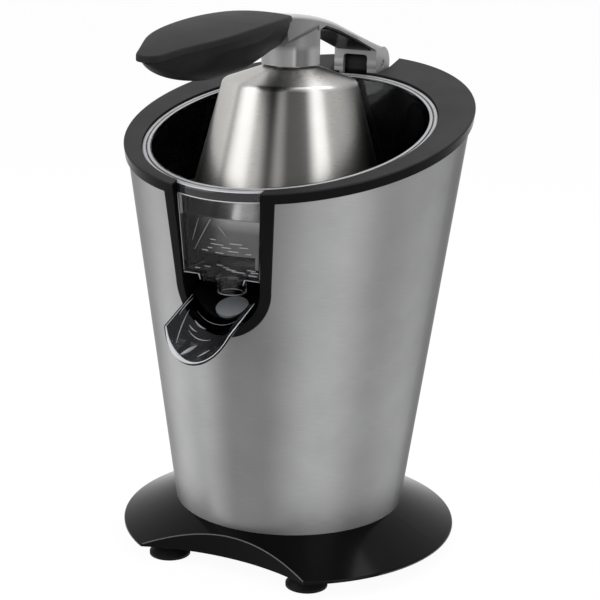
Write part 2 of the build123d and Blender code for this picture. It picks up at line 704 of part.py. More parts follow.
def squeezing_cone():
    """Ribbed reamer: an ogive core with radial ribs that swell to the envelope, on a thin round rim."""
    envelope = ogive(CONE_R, CONE_BASE_Z, CONE_TIP_Z)
    core = ogive(CONE_CORE_R, CONE_BASE_Z, CONE_TIP_Z - CONE_CORE_DROP)
    blades = []
    for i in range(RIB_COUNT):
        blade = block(0, CONE_R + 5, -RIB_T / 2, RIB_T / 2, CONE_BASE_Z, CONE_TIP_Z + 1)
        blades.append(Pos(0, JUICE_Y, 0) * Rot(0, 0, 360 * i / RIB_COUNT) * blade)
    ribs = envelope & joined(blades)
    rim = tube(CONE_R + 2, 0, CONE_BASE_Z, CONE_BASE_Z + CONE_RIM_T, 0, JUICE_Y)
    cone = core + ribs + rim
    cone -= tube(CONE_CAVITY_R, 0, CONE_BASE_Z - 1, CONE_HUB_Z, 0, JUICE_Y)
    return cone - hex_bar(SHAFT_HEX + 4 * RUN, CONE_HUB_Z - 1, SHAFT_TOP_Z + CLEAR)


def hex_bar(across, z0, z1):
    """A hexagonal bar on the juicing axis, by its width across flats."""
    face = Plane.XY * RegularPolygon(across / math.sqrt(3), 6)
    return Pos(0, JUICE_Y, z0) * extrude(face, amount=z1 - z0)


def shaft_flat_cut(offset):
    """The material beyond the shaft's drive flat."""
    top = CASE_TOP_Z - CASE_LID_T - 0.5
    return block(SHAFT_FLAT + offset, 20, JUICE_Y - 20, JUICE_Y + 20, CASE_FLOOR_Z, top)


def drive_shaft():
    """Steel shaft: a drive flat for the gear below, a hexagon for the cone above."""
    shaft = tube(SHAFT_R, 0, SHAFT_FOOT_Z, CONE_HUB_Z, 0, JUICE_Y) - shaft_flat_cut(0)
    return shaft + hex_bar(SHAFT_HEX, CONE_HUB_Z, SHAFT_TOP_Z)


def spur_gear(module, teeth, z0, height, phase):
    """A spur gear about the Z axis: straight-flanked teeth thinned by the backlash, one centred at phase."""
    pitch_r = module * teeth / 2
    tip_r = pitch_r + module * TOOTH_ADDENDUM
    root_r = pitch_r - module * TOOTH_DEDENDUM
    slope = math.tan(math.radians(TOOTH_FLANK))
    half_pitch = module * (math.pi - TOOTH_BACKLASH) / 4
    half_tip = half_pitch - slope * module * TOOTH_ADDENDUM
    half_root = half_pitch + slope * module * TOOTH_ADDENDUM
    points = []
    for i in range(teeth):
        centre = math.radians(phase) + 2 * math.pi * i / teeth
        for radius, half in ((root_r, -half_root), (pitch_r, -half_pitch), (tip_r, -half_tip),
                             (tip_r, half_tip), (pitch_r, half_pitch), (root_r, half_root)):
            angle = centre + half / radius
            points.append((radius * math.cos(angle), radius * math.sin(angle)))
    return Pos(0, 0, z0) * extrude(make_face(Polyline(*points, close=True)), amount=height)


def output_gear():
    """Large wheel on the shaft; the shaft slides through its flatted hub."""
    wheel = spur_gear(OUT_MODULE, GEAR_WHEEL_TEETH, OUT_WHEEL_Z, OUT_WHEEL_T, 90)
    gear = Pos(0, JUICE_Y, 0) * wheel + tube(OUT_HUB_R, 0, OUT_WHEEL_Z, OUT_HUB_TOP_Z, 0, JUICE_Y)
    bore = tube(SHAFT_R + RUN, 0, OUT_WHEEL_Z - 1, OUT_HUB_TOP_Z + 1, 0, JUICE_Y) - shaft_flat_cut(RUN)
    return gear - bore


def idler_gear():
    """Compound wheel: the motor drives the large teeth, the small teeth drive the output gear."""
    half_tooth = 180 / GEAR_PINION_TEETH
    wheel = spur_gear(IN_MODULE, GEAR_WHEEL_TEETH, IN_WHEEL_Z, IN_WHEEL_T, MOTOR_BEARING)
    pinion_z = IN_WHEEL_Z + IN_WHEEL_T
    pinion = spur_gear(OUT_MODULE, GEAR_PINION_TEETH, pinion_z, IDLER_TOP_Z - pinion_z, -90 + half_tooth)
    gear = Pos(0, IDLER_Y, 0) * (wheel + pinion)
    return gear - tube(AXLE_R + RUN, 0, CASE_FLOOR_Z, CASE_TOP_Z, 0, IDLER_Y)


def idler_axle():
    """Fixed steel pin that the idler turns on, held in the case's floor and lid."""
    return tube(AXLE_R, 0, CASE_FLOOR_Z, CASE_TOP_Z, 0, IDLER_Y)


def idler_washers():
    """Two washers that keep the idler at its height."""
    lid = CASE_TOP_Z - CASE_LID_T
    low = tube(AXLE_R + 2.2, AXLE_R + RUN, CASE_FLOOR_TOP_Z, IN_WHEEL_Z - CLEAR, 0, IDLER_Y)
    high = tube(AXLE_R + 1.0, AXLE_R + RUN, IDLER_TOP_Z + CLEAR, lid, 0, IDLER_Y)
    return Compound([low, high])


# Gear case and press switch


def gear_case():
    """Floor of the gear case; the motor hangs from it and the press switch stands on it."""
    case = tube(CASE_R, 0, CASE_FLOOR_Z, CASE_FLOOR_TOP_Z, 0, CASE_Y)
    for x, y in motor_screw_places():
        case += tube(BOSS_R, 0, motor_top_z(), CASE_FLOOR_Z, x, y)
    for x, y in motor_screw_places():
        case -= tube(SCREW_R + SNUG, 0, motor_top_z() - 1, CASE_FLOOR_TOP_Z + 1, x, y)
    case -= tube(MOTOR_SHAFT_R + 2, 0, CASE_FLOOR_Z - 1, CASE_FLOOR_TOP_Z + 1, MOTOR_X, MOTOR_Y)
    for x, y in case_screw_places():
        case -= tube(SCREW_R + SNUG, 0, CASE_FLOOR_Z - 1, CASE_FLOOR_TOP_Z + 1, x, y)
    return case - tube(AXLE_R + SNUG, 0, CASE_FLOOR_Z - 1, CASE_FLOOR_TOP_Z + 1, 0, IDLER_Y)


def case_screw_places():
    """Screws around the gear case's edge."""
    return ring_places(0, CASE_Y, CASE_R - CASE_SCREW_INSET, CASE_SCREW_BEARINGS)


def motor_screw_places():
    """Three screws from the case's floor down into the motor's upper bracket."""
    return ring_places(MOTOR_X, MOTOR_Y, MOTOR_SCREW_PITCH_R, MOTOR_SCREW_BEARINGS)


def motor_top_z():
    """Top face of the motor's upper bracket."""
    return STATOR_TOP_Z + BRACKET_RISE + BRACKET_T


def gear_case_lid():
    """Upper half of the gear case: its wall and lid, screwed to the posts of the well."""
    lid = tube(CASE_R, 0, CASE_FLOOR_TOP_Z, CASE_TOP_Z, 0, CASE_Y)
    lid -= tube(CASE_R - CASE_T, 0, CASE_FLOOR_TOP_Z, CASE_TOP_Z - CASE_LID_T, 0, CASE_Y)
    inner = tube(CASE_R, 0, CASE_FLOOR_TOP_Z, CASE_TOP_Z, 0, CASE_Y)
    for x, y in case_screw_places():
        lid += tube(CASE_BOSS_R, 0, CASE_FLOOR_TOP_Z, CASE_TOP_Z, x, y) & inner
    for x, y in case_screw_places():
        lid -= tube(SCREW_R + SNUG, 0, CASE_FLOOR_Z, CASE_FLOOR_Z + CASE_SCREW_L + 2, x, y)
    for x, y in CASE_POST_PLACES:
        lid -= tube(SCREW_R + SNUG, 0, CASE_TOP_Z - 6, CASE_TOP_Z + 1, x, y)
    lid -= tube(SHAFT_R + RUN + BUSH_T, 0, CASE_TOP_Z - 6, CASE_TOP_Z + 1, 0, JUICE_Y)
    return lid - tube(AXLE_R + SNUG, 0, CASE_TOP_Z - 6, CASE_TOP_Z + 1, 0, IDLER_Y)


def lid_bush():
    """Bronze bush for the shaft in the gear case's lid."""
    return tube(SHAFT_R + RUN + BUSH_T, SHAFT_R + RUN, OUT_HUB_TOP_Z + CLEAR, CASE_TOP_Z + 4, 0, JUICE_Y)


def case_screws():
    """Screws that close the case, and those that hang its lid from the well."""
    edge = [screw(x, y, CASE_FLOOR_Z, CASE_SCREW_L) for x, y in case_screw_places()]
    posts = [screw(x, y, CASE_TOP_Z - CASE_LID_T, POST_SCREW_L) for x, y in CASE_POST_PLACES]
    return Compound(edge + posts)


def thrust_cap():
    """Cap under the shaft's foot: it rides on the spring and its arm works the switch."""
    cap = tube(CAP_R, 0, PIN_SEAT_Z, SHAFT_FOOT_Z, 0, JUICE_Y)
    cap += tube(SPRING_R - 2 * SPRING_WIRE_R, 0, PIN_SEAT_Z - 3, PIN_SEAT_Z, 0, JUICE_Y)
    arm = block(-CAP_ARM_L, 0, JUICE_Y - CAP_ARM_HALF, JUICE_Y + CAP_ARM_HALF, PIN_SEAT_Z, SHAFT_FOOT_Z)
    return cap + arm


def return_spring():
    """Sleeve of the return spring that lifts the shaft when the lever lets go."""
    return tube(SPRING_R + SPRING_WIRE_R, SPRING_R - SPRING_WIRE_R, CASE_FLOOR_TOP_Z, PIN_SEAT_Z, 0, JUICE_Y)


def switch_centre_x():
    """The switch stands under the end of the cap's arm."""
    return -CAP_ARM_L + CAP_ARM_HALF


def switch_body():
    """Small snap switch that starts the motor."""
    top = CASE_FLOOR_TOP_Z + SWITCH_H
    body = Pos(switch_centre_x(), JUICE_Y, top - SWITCH_H / 2) * Box(SWITCH_L, SWITCH_W, SWITCH_H)
    return body - tube(BUTTON_R + CLEAR, 0, top - BUTTON_DEPTH, PIN_SEAT_Z, switch_centre_x(), JUICE_Y)


def switch_button():
    """The switch's plunger, under the cap's arm."""
    foot = CASE_FLOOR_TOP_Z + SWITCH_H - BUTTON_DEPTH + PRESS_TRAVEL + CLEAR
    return tube(BUTTON_R, 0, foot, PIN_SEAT_Z, switch_centre_x(), JUICE_Y)


# Motor


def motor_stator():
    """Laminated stator ring."""
    return tube(STATOR_R, STATOR_BORE_R, STATOR_BOTTOM_Z, STATOR_TOP_Z, MOTOR_X, MOTOR_Y)


def stator_windings():
    """Copper end turns above and below the stator."""
    rings = []
    for z0 in (STATOR_TOP_Z, STATOR_BOTTOM_Z - WINDING_H):
        ring = tube(WINDING_OUT_R, WINDING_IN_R, z0, z0 + WINDING_H, MOTOR_X, MOTOR_Y)
        rings.append(fillet(ring.edges(), WINDING_H * 0.25))
    return Compound(rings)


def motor_bracket(outer_z, inner_z):
    """End bracket: a plate with a short wall that meets the stator, and a seat for the bush."""
    z_low, z_high = sorted((outer_z, inner_z))
    plate_low = outer_z - BRACKET_T if outer_z > inner_z else outer_z
    cup = tube(STATOR_R, 0, z_low, z_high, MOTOR_X, MOTOR_Y)
    room_low, room_high = (z_low, plate_low) if outer_z > inner_z else (outer_z + BRACKET_T, z_high)
    cup -= tube(STATOR_R - BRACKET_WALL, 0, room_low, room_high, MOTOR_X, MOTOR_Y)
    bearings = [360 * (i + 0.5) / VENT_COUNT for i in range(VENT_COUNT)]
    for x, y in ring_places(MOTOR_X, MOTOR_Y, VENT_PITCH_R, bearings):
        cup -= tube(VENT_R, 0, z_low - 1, z_high + 1, x, y)
    for x, y in motor_screw_places():
        cup -= tube(SCREW_R + SNUG, 0, plate_low - 1, plate_low + BRACKET_T + 1, x, y)
    return cup - tube(MOTOR_BUSH_R + SNUG, 0, z_low - 1, z_high + 1, MOTOR_X, MOTOR_Y)


def motor_bottom_z():
    """Lower face of the motor's lower bracket."""
    return STATOR_BOTTOM_Z - BRACKET_RISE - BRACKET_T


def motor_bushes():
    """Sintered bushes in the two brackets."""
    rings = []
    for z0 in (motor_top_z() - MOTOR_BUSH_H + 2, motor_bottom_z() - 2):
        rings.append(tube(MOTOR_BUSH_R, MOTOR_SHAFT_R + RUN, z0, z0 + MOTOR_BUSH_H, MOTOR_X, MOTOR_Y))
    return Compound(rings)


def motor_screws():
    """The three screws that hang the motor from the gear case."""
    return Compound([screw(x, y, CASE_FLOOR_TOP_Z, CASE_FLOOR_TOP_Z - motor_top_z() + BRACKET_T, up=False)
                     for x, y in motor_screw_places()])


def motor_shaft():
    """Motor shaft with its pinion cut on the upper end."""
    half_tooth = 180 / GEAR_PINION_TEETH
    shaft = tube(MOTOR_SHAFT_R, 0, MOTOR_SHAFT_BOTTOM_Z, MOTOR_SHAFT_TOP_Z, MOTOR_X, MOTOR_Y)
    phase = MOTOR_BEARING + 180 + half_tooth
    pinion = spur_gear(IN_MODULE, GEAR_PINION_TEETH, IN_WHEEL_Z - 2, IN_WHEEL_T + 3, phase)
    return shaft + Pos(MOTOR_X, MOTOR_Y, 0) * pinion


def motor_rotor():
    """Rotor core, pressed on the motor shaft."""
    radius = STATOR_BORE_R - AIR_GAP
    return tube(radius, MOTOR_SHAFT_R, STATOR_BOTTOM_Z - 1, STATOR_TOP_Z + 1, MOTOR_X, MOTOR_Y)


def cooling_fan():
    """Bladed fan on the lower end of the motor shaft."""
    z0 = MOTOR_SHAFT_BOTTOM_Z
    hub_r = MOTOR_SHAFT_R + FAN_HUB_T
    fan = tube(FAN_R, MOTOR_SHAFT_R, z0, z0 + FAN_PLATE_T) + tube(hub_r, MOTOR_SHAFT_R, z0, z0 + FAN_H)
    for i in range(FAN_BLADES):
        blade = block(hub_r - 1, FAN_R, -FAN_BLADE_T / 2, FAN_BLADE_T / 2, z0, z0 + FAN_H)
        fan += Rot(0, 0, 360 * i / FAN_BLADES) * blade
    return Pos(MOTOR_X, MOTOR_Y, 0) * fan


# Spout


def spout_tube(r_out, r_in):
    """A tube along the sloping spout axis, open above, long enough for every cut."""
    place = Pos(0, SPOUT_AXIS_Y, SPOUT_AXIS_Z) * Rot(90 + SPOUT_SLOPE, 0, 0)
    trough = Cylinder(r_out, 160) - Cylinder(r_in, 160)
    keep = Pos(0, -r_out - SPOUT_SHOULDER, 0) * Box(4 * r_out, 2 * r_out, 160)
    return place * (trough & keep)


def spout():
    """Clear scoop that the juice runs down, with a raked, round lip."""
    lip_y, lip_z = SPOUT_LIP
    brow_y, brow_z = SPOUT_BROW
    lean = (brow_y - lip_y) / (brow_z - lip_z)
    high = brow_z + 30
    low = lip_z - 30
    window = side_prism([(SPOUT_BACK_Y, low), (lip_y + lean * (low - lip_z), low),
                         (lip_y + lean * (high - lip_z), high), (SPOUT_BACK_Y, high)], SPOUT_R + 2)
    return spout_tube(SPOUT_R, SPOUT_R - SPOUT_T) & window


def pad_disc(radius, low, high):
    """A disc square to the closed spout's seal, on the pad's place."""
    place = Pos(0, PAD_Y, PAD_Z) * Rot(SPOUT_SLOPE, 0, 0)
    return place * Pos(0, 0, (low + high) / 2) * Cylinder(radius, high - low)


def spout_rocker():
    """Black pan that carries the scoop and the seal, hung on the spout pin."""
    wide = 2 * SPOUT_R
    span = block(-wide, wide, SPOUT_BACK_Y, ROCKER_BACK_Y, SPOUT_PIVOT_Z - wide, SPOUT_PIVOT_Z + wide)
    pan = spout_tube(SPOUT_R, SPOUT_R - SPOUT_T) & span
    boss = pad_disc(PAD_R, -PAD_T - 6, -PAD_T) & spout_solid() & span
    web_low = SPOUT_PIVOT_Z - ROCKER_BARREL_R
    web_front = ROCKER_BACK_Y - 3
    web = side_prism([(web_front, web_low), (web_front, SPOUT_PIVOT_Z - 1),
                      (SPOUT_PIVOT_Y, SPOUT_PIVOT_Z + 1), (SPOUT_PIVOT_Y, web_low)], PAD_R)
    rocker = pan + boss + web + rod_x(ROCKER_BARREL_R, ROCKER_HALF, SPOUT_PIVOT_Y, SPOUT_PIVOT_Z)
    rocker -= pad_disc(PAD_R + CLEAR, -PAD_T, PAD_R)
    return rocker - rod_x(SPOUT_PIN_R + RUN, 40, SPOUT_PIVOT_Y, SPOUT_PIVOT_Z)


def spout_solid():
    """The spout tube's outer form, filled."""
    return Pos(0, SPOUT_AXIS_Y, SPOUT_AXIS_Z) * Rot(90 + SPOUT_SLOPE, 0, 0) * Cylinder(SPOUT_R, 160)


def drip_seal():
    """Grey silicone pad that closes the nozzle when the spout is tipped up."""
    return pad_disc(PAD_R, -PAD_T, 0)


def spout_pin():
    """Steel pin across the recess that the rocker turns on."""
    return rod_x(SPOUT_PIN_R, SPOUT_PIN_HALF, SPOUT_PIVOT_Y, SPOUT_PIVOT_Z)


# Lever


def arm_side(drop):
    """The arm's side outline without the hinge end, lowered by drop, as a prism."""
    top = [(y, z - drop) for y, z in ARM_TOP]
    reach = BARREL_R * 0.3
    tangent_y = HINGE_Y + reach
    tangent_z = HINGE_Z + math.sqrt(BARREL_R ** 2 - reach ** 2) - drop
    curve = Spline(*top, (tangent_y, tangent_z))
    lower = Polyline((tangent_y, tangent_z), (tangent_y, HINGE_Z), (BOX_FRONT_Y, HINGE_Z),
                     *ARM_UNDER, *ARM_CHIN, top[0])
    return extrude(Plane.YZ * make_face([curve, lower]), amount=ARM_FRONT_HALF + 2, both=True)


def arm_plan():
    """The arm's outline from above: slim at the hinge, wider over the stem."""
    h, w = ARM_HALF, ARM_FRONT_HALF
    end = HANDLE_BACK_TOP_Y - 5
    edge = Spline((h, 45), (w - 0.8, 8), (w, -20), (w - 0.5, end), tangents=[(0, -1), (0, -1)])
    right = [Line((h, LEVER_REAR_Y), (h, 45)), edge]
    left = [mirror(e, about=Plane.YZ) for e in right]
    ends = [Line((h, LEVER_REAR_Y), (-h, LEVER_REAR_Y)), Line((w - 0.5, end), (-w + 0.5, end))]
    return extrude(make_face(right + left + ends), amount=LEVER_ROOF_Z)


def handle_back():
    """Everything behind the handle's slanted rear face."""
    return side_prism([(HANDLE_BACK_TOP_Y, HANDLE_BACK_TOP_Z), (HANDLE_BACK_LOW_Y, HANDLE_BACK_LOW_Z),
                       (HANDLE_BACK_LOW_Y, LEVER_FLOOR_Z), (LEVER_REAR_Y, LEVER_FLOOR_Z),
                       (LEVER_REAR_Y, LEVER_ROOF_Z), (HANDLE_BACK_TOP_Y, LEVER_ROOF_Z)], LEVER_WIDE)


def chin_corner():
    """The sliver outside the rounded lower edge of the arm's chin, on the right."""
    (y0, z0), (y1, z1) = ARM_CHIN
    lean = math.degrees(math.atan2(z0 - z1, y0 - y1))
    r, w = ARM_CHIN_ROUND, ARM_FRONT_HALF
    corner = block(w - r, w + r, -30, 30, -r, r) - Pos(w - r, 0, r) * Rot(90, 0, 0) * Cylinder(r, 80)
    return Pos(0, (y0 + y1) / 2, (z0 + z1) / 2) * Rot(lean, 0, 0) * corner


def lever_arm():
    """Die-cast arm: crowned beam, hinge box with two cheeks, presser stem and a tongue for the handle."""
    beam = arm_side(0) & arm_plan() & handle_back()
    crown = beam.edges().filter_by(lambda e: e.length > LEVER_WIDE and abs(e.center().X) > ARM_HALF)
    beam = fillet(crown, ARM_EDGE_ROUND)
    beam -= chin_corner()
    beam -= mirror(chin_corner(), about=Plane.YZ)
    barrel = rod_x(BARREL_R, ARM_HALF, HINGE_Y, HINGE_Z)
    front = block(-ARM_HALF, ARM_HALF, BOX_FRONT_Y, HINGE_Y, HINGE_Z - BARREL_R, HINGE_Z + 1)
    front = fillet(front.edges().filter_by(Axis.X).sort_by(lambda e: e.center().Y + e.center().Z)[0],
                   BOX_EDGE_ROUND)
    arm = beam + (barrel + front)
    stem = tube(STEM_R, 0, STEM_BOTTOM_Z, LEVER_ROOF_Z, 0, JUICE_Y) & side_prism(
        [(-60, STEM_BOTTOM_Z), (60, STEM_BOTTOM_Z), (60, ARM_UNDER[2][1]), (0, ARM_UNDER[3][1] + 1),
         (-60, TONGUE_TOP_Z)], 30)
    tongue = block(-TONGUE_HALF, TONGUE_HALF, TONGUE_END_Y, HANDLE_BACK_LOW_Y,
                   TONGUE_BOTTOM_Z, TONGUE_TOP_Z)
    arm = arm + stem + tongue
    cheek_in = ARM_HALF - CHEEK_T
    back = HINGE_Y + BARREL_R + 2
    wall_back = BOX_FRONT_Y + BOX_FRONT_T
    roof = HINGE_Z + KNUCKLE_R + 2 * CLEAR
    arm -= block(-cheek_in, cheek_in, wall_back, back, HINGE_Z - 20, roof)
    window = block(-BOX_WINDOW_HALF, BOX_WINDOW_HALF, BOX_FRONT_Y - 1, wall_back + 1, HINGE_Z - 20,
                   HINGE_Z + KNUCKLE_R - 1)
    arm -= fillet(window.edges().filter_by(Axis.Y).group_by(Axis.Z)[-1], BOX_WINDOW_ROUND)
    arm -= rod_x(HINGE_PIN_R + RUN, ARM_HALF + 1, HINGE_Y, HINGE_Z)
    arm -= tube(STEM_CAVITY_R, 0, STEM_BOTTOM_Z - 1, STEM_CAVITY_TOP_Z, 0, JUICE_Y)
    arm -= rod_x(PRESSER_PIN_R + SNUG, PRESSER_PIN_HALF + SNUG, JUICE_Y, PRESSER_PIVOT_Z)
    arm -= cap_form(CAP_DISC_R)
    for y in HANDLE_SCREW_Y:
        arm -= tube(SCREW_R + SNUG, 0, TONGUE_BOTTOM_Z - 1, TONGUE_BOTTOM_Z + 7, 0, y)
    return arm


def cap_form(radius):
    """The skin of the arm's top above the stem, cut out as a round cover."""
    skin = arm_side(0) - arm_side(CAP_DISC_T)
    return skin & tube(radius, 0, LEVER_FLOOR_Z, LEVER_ROOF_Z, 0, CAP_DISC_Y)


def stem_cap():
    """Round cover let into the top of the arm, over the stem."""
    return cap_form(CAP_DISC_R - CLEAR / 2)


def under_z(y):
    """Height of the arm's underside at y, between its outline points."""
    for (y0, z0), (y1, z1) in zip(ARM_UNDER, ARM_UNDER[1:]):
        if y1 <= y <= y0:
            return z0 + (z1 - z0) * (y - y0) / (y1 - y0)


def arm_liner():
    """Black strip that lies against the arm's underside, between the stem and the hinge box."""
    knots = [BOX_FRONT_Y - LINER_GAP, ARM_UNDER[1][0], ARM_UNDER[2][0], LINER_FRONT_Y]
    top = [(y, under_z(y)) for y in knots]
    low = [(y, z - LINER_T) for y, z in reversed(top)]
    return side_prism(top + low, LINER_HALF)


# Handle


def handle_plan(inset):
    """The handle's outline from above, inset by an amount."""
    points = [(max(x - inset, 0), y + (inset if x == 0 else 0)) for x, y in HANDLE_SIDE]
    side = Spline(*points, tangents=[(0.45, -1), (-1, 0)])
    other = mirror(side, about=Plane.YZ)
    back = Line(points[0], (-points[0][0], points[0][1]))
    plan = extrude(make_face([side, other, back]), amount=LEVER_ROOF_Z - LEVER_FLOOR_Z)
    return Pos(0, 0, LEVER_FLOOR_Z) * plan


def handle_crown(drop):
    """A great ring whose outer face is the handle's top, crowned along and across, lowered by drop."""
    line = ThreePointArc(*HANDLE_CROWN)
    ring = Torus(line.radius - HANDLE_CROSS_R, HANDLE_CROSS_R - drop)
    return Pos(0, line.arc_center.X, line.arc_center.Y) * Rot(0, 90, 0) * ring


def handle_top():
    """Soft upper pad of the handle."""
    pad = (handle_plan(0) & handle_crown(0)) - handle_crown(HANDLE_TOP_T) - handle_back()
    rims = pad.edges().filter_by(lambda e: e.length > 60).group_by(Axis.Z)[-1]
    return fillet(rims, HANDLE_EDGE_ROUND)


def crown_z(y):
    """Height of the handle's parting line at y."""
    (ya, za), (yb, zb), (yc, zc) = HANDLE_CROWN
    a = za * (y - yb) * (y - yc) / ((ya - yb) * (ya - yc))
    b = zb * (y - ya) * (y - yc) / ((yb - ya) * (yb - yc))
    c = zc * (y - ya) * (y - yb) / ((yc - ya) * (yc - yb))
    return a + b + c - HANDLE_TOP_T


def side_half(y):
    """Half width of the handle at y, between its outline points."""
    for (x0, y0), (x1, y1) in zip(HANDLE_SIDE, HANDLE_SIDE[1:]):
        if y1 <= y <= y0:
            t = (y0 - y) / (y0 - y1)
            return x0 + (x1 - x0) * t + 2.5 * 4 * t * (1 - t) * (0.9 if y > -140 else 0.4)


def handle_shell():
    """Rounded lower shell of the handle, hollowed for the arm's tongue."""
    sections = []
    for y, z in HANDLE_BELLY:
        top = crown_z(y) + 3
        half = side_half(y)
        depth = top - z
        arc = EllipticalCenterArc((0, top), half, depth, start_angle=180, arc_size=180)
        sections.append(Plane(origin=(0, y, 0), x_dir=(1, 0, 0), z_dir=(0, -1, 0)) * make_face(
            [arc, Line((half, top), (-half, top))]))
    hull = loft(sections)
    shell = (hull & handle_plan(0.6) & handle_crown(HANDLE_TOP_T)) - handle_back()
    shell -= block(-TONGUE_HALF - CLEAR, TONGUE_HALF + CLEAR, TONGUE_END_Y - CLEAR, HANDLE_BACK_LOW_Y + 5,
                   TONGUE_BOTTOM_Z, TONGUE_TOP_Z + CLEAR)
    for y in HANDLE_SCREW_Y:
        shell -= tube(SCREW_R + CLEAR, 0, LEVER_FLOOR_Z, TONGUE_BOTTOM_Z, 0, y)
        shell -= tube(SCREW_HEAD_R + CLEAR, 0, LEVER_FLOOR_Z, TONGUE_BOTTOM_Z - HANDLE_SCREW_DROP, 0, y)
    return shell


def handle_screws():
    """Two screws from below that hold the handle to the arm's tongue."""
    seat = TONGUE_BOTTOM_Z - HANDLE_SCREW_DROP
    return Compound([screw(0, y, seat, HANDLE_SCREW_L) for y in HANDLE_SCREW_Y])


# Presser


def dome_profile(inset):
    """The dome's outline as (radius, z) points, inset by its wall."""
    return [(DOME_FOOT_R - inset, DOME_FOOT_Z), (DOME_SHOULDER_R - inset, DOME_SHOULDER_Z - inset * 0.3),
            (DOME_TOP_R, DOME_TOP_Z - inset), (0, DOME_TOP_Z - inset), (0, DOME_FOOT_Z)]


def dome_form(inset):
    """The dome's outer form, or the space inside it."""
    form = turned(dome_profile(inset), 0, JUICE_Y)
    shoulder = form.edges().filter_by(GeomType.CIRCLE).sort_by(Axis.Z)[1]
    return fillet(shoulder, DOME_SHOULDER_ROUND - inset)


def presser_dome():
    """Brushed steel dome that comes down over the fruit."""
    dome = dome_form(0) - dome_form(DOME_T)
    return dome - tube(SCREW_R + 1, 0, DOME_TOP_Z - 10, DOME_TOP_Z + 1, 0, JUICE_Y)


def cup_form(inset):
    """The fruit cup's inner form grown by a wall, as a revolve."""
    foot = (CUP_FOOT_R + inset, CUP_FOOT_Z)
    mid = (CUP_MID[0] + inset, CUP_MID[1] + inset * 0.3)
    apex = (0, CUP_APEX_Z + inset)
    outline = make_face([Line((0, CUP_FOOT_Z), foot), Spline(foot, mid, apex, tangents=[(-0.1, 1), (-1, 0)]),
                         Line(apex, (0, CUP_FOOT_Z))])
    return Pos(0, JUICE_Y, 0) * revolve(Plane.XZ * outline, axis=Axis.Z)


def presser_cup():
    """Plastic fruit cup inside the dome, ribbed outside and screwed up against the dome's top."""
    post_top = DOME_TOP_Z - DOME_T
    ribs = []
    for i in range(CUP_RIBS):
        rib = block(CUP_POST_R - 2, CUP_FOOT_R + 2.6, -0.8, 0.8, CUP_FOOT_Z + 8, CUP_APEX_Z + 6)
        ribs.append(Pos(0, JUICE_Y, 0) * Rot(0, 0, 360 * i / CUP_RIBS) * rib)
    room = dome_form(DOME_T + CLEAR)
    cup = cup_form(CUP_T) + (joined(ribs) & room) + tube(CUP_POST_R, 0, CUP_APEX_Z, post_top, 0, JUICE_Y)
    cup -= cup_form(0)
    cup -= tube(SCREW_R + SNUG, 0, CUP_APEX_Z - 5, post_top + 1, 0, JUICE_Y)
    return cup - tube(SCREW_HEAD_R + CLEAR, 0, CUP_APEX_Z - 5, CUP_APEX_Z + CUP_T + 1, 0, JUICE_Y)


def presser_hub():
    """Steel hub on top of the dome; the presser pin passes through it inside the stem."""
    hub = tube(HUB_R, 0, DOME_TOP_Z, HUB_TOP_Z, 0, JUICE_Y)
    hub -= rod_x(PRESSER_PIN_R + RUN, HUB_R + 1, JUICE_Y, PRESSER_PIVOT_Z)
    return hub - tube(SCREW_R + SNUG, 0, DOME_TOP_Z - 1, DOME_TOP_Z + 5, 0, JUICE_Y)


def presser_screw():
    """Screw that draws the cup and the dome up against the hub."""
    seat = CUP_APEX_Z + CUP_T + 1
    return screw(0, JUICE_Y, seat, DOME_TOP_Z + 4 - seat)


def presser_pin():
    """Steel pin across the stem that the presser hangs and rocks on."""
    return rod_x(PRESSER_PIN_R, PRESSER_PIN_HALF, JUICE_Y, PRESSER_PIVOT_Z)


def all_parts():
    """Every sub-part by its name."""
    top, bottom = motor_top_z(), motor_bottom_z()
    parts = {
        "base_shell": base_shell(),
        "bottom_cover": bottom_cover(),
        "base_screws": base_screws(),
        "cord_gland": cord_gland(),
        "body_shell": body_shell(),
        "top_rim": top_rim(),
        "bowl_well": bowl_well(),
        "neck_bush": neck_bush(),
        "shaft_seal": shaft_seal(),
        "hinge_post": hinge_post(),
        "hinge_pin": hinge_pin(),
        "hinge_screws": hinge_screws(),
        "juice_bowl": juice_bowl(),
        "strainer": strainer(),
        "squeezing_cone": squeezing_cone(),
        "drive_shaft": drive_shaft(),
        "output_gear": output_gear(),
        "idler_gear": idler_gear(),
        "idler_axle": idler_axle(),
        "idler_washers": idler_washers(),
        "gear_case": gear_case(),
        "gear_case_lid": gear_case_lid(),
        "lid_bush": lid_bush(),
        "case_screws": case_screws(),
        "thrust_cap": thrust_cap(),
        "return_spring": return_spring(),
        "switch_body": switch_body(),
        "switch_button": switch_button(),
        "motor_stator": motor_stator(),
        "stator_windings": stator_windings(),
        "motor_bracket_upper": motor_bracket(top, STATOR_TOP_Z),
        "motor_bracket_lower": motor_bracket(bottom, STATOR_BOTTOM_Z),
        "motor_bushes": motor_bushes(),
        "motor_screws": motor_screws(),
        "motor_shaft": motor_shaft(),
        "motor_rotor": motor_rotor(),
        "cooling_fan": cooling_fan(),
        "spout": spout(),
        "spout_rocker": spout_rocker(),
        "drip_seal": drip_seal(),
        "spout_pin": spout_pin(),
        "lever_arm": lever_arm(),
        "stem_cap": stem_cap(),
        "arm_liner": arm_liner(),
        "handle_top": handle_top(),
        "handle_shell": handle_shell(),
        "handle_screws": handle_screws(),
        "presser_dome": presser_dome(),
        "presser_cup": presser_cup(),
        "presser_hub": presser_hub(),
        "presser_screw": presser_screw(),
        "presser_pin": presser_pin(),
    }
    for name, (x, y) in foot_places().items():
        parts["foot_" + name] = suction_foot(x, y)
    return parts


os.makedirs("parts", exist_ok=True)
for name, shape in all_parts().items():
    export_step(shape, "parts/" + name + ".step")
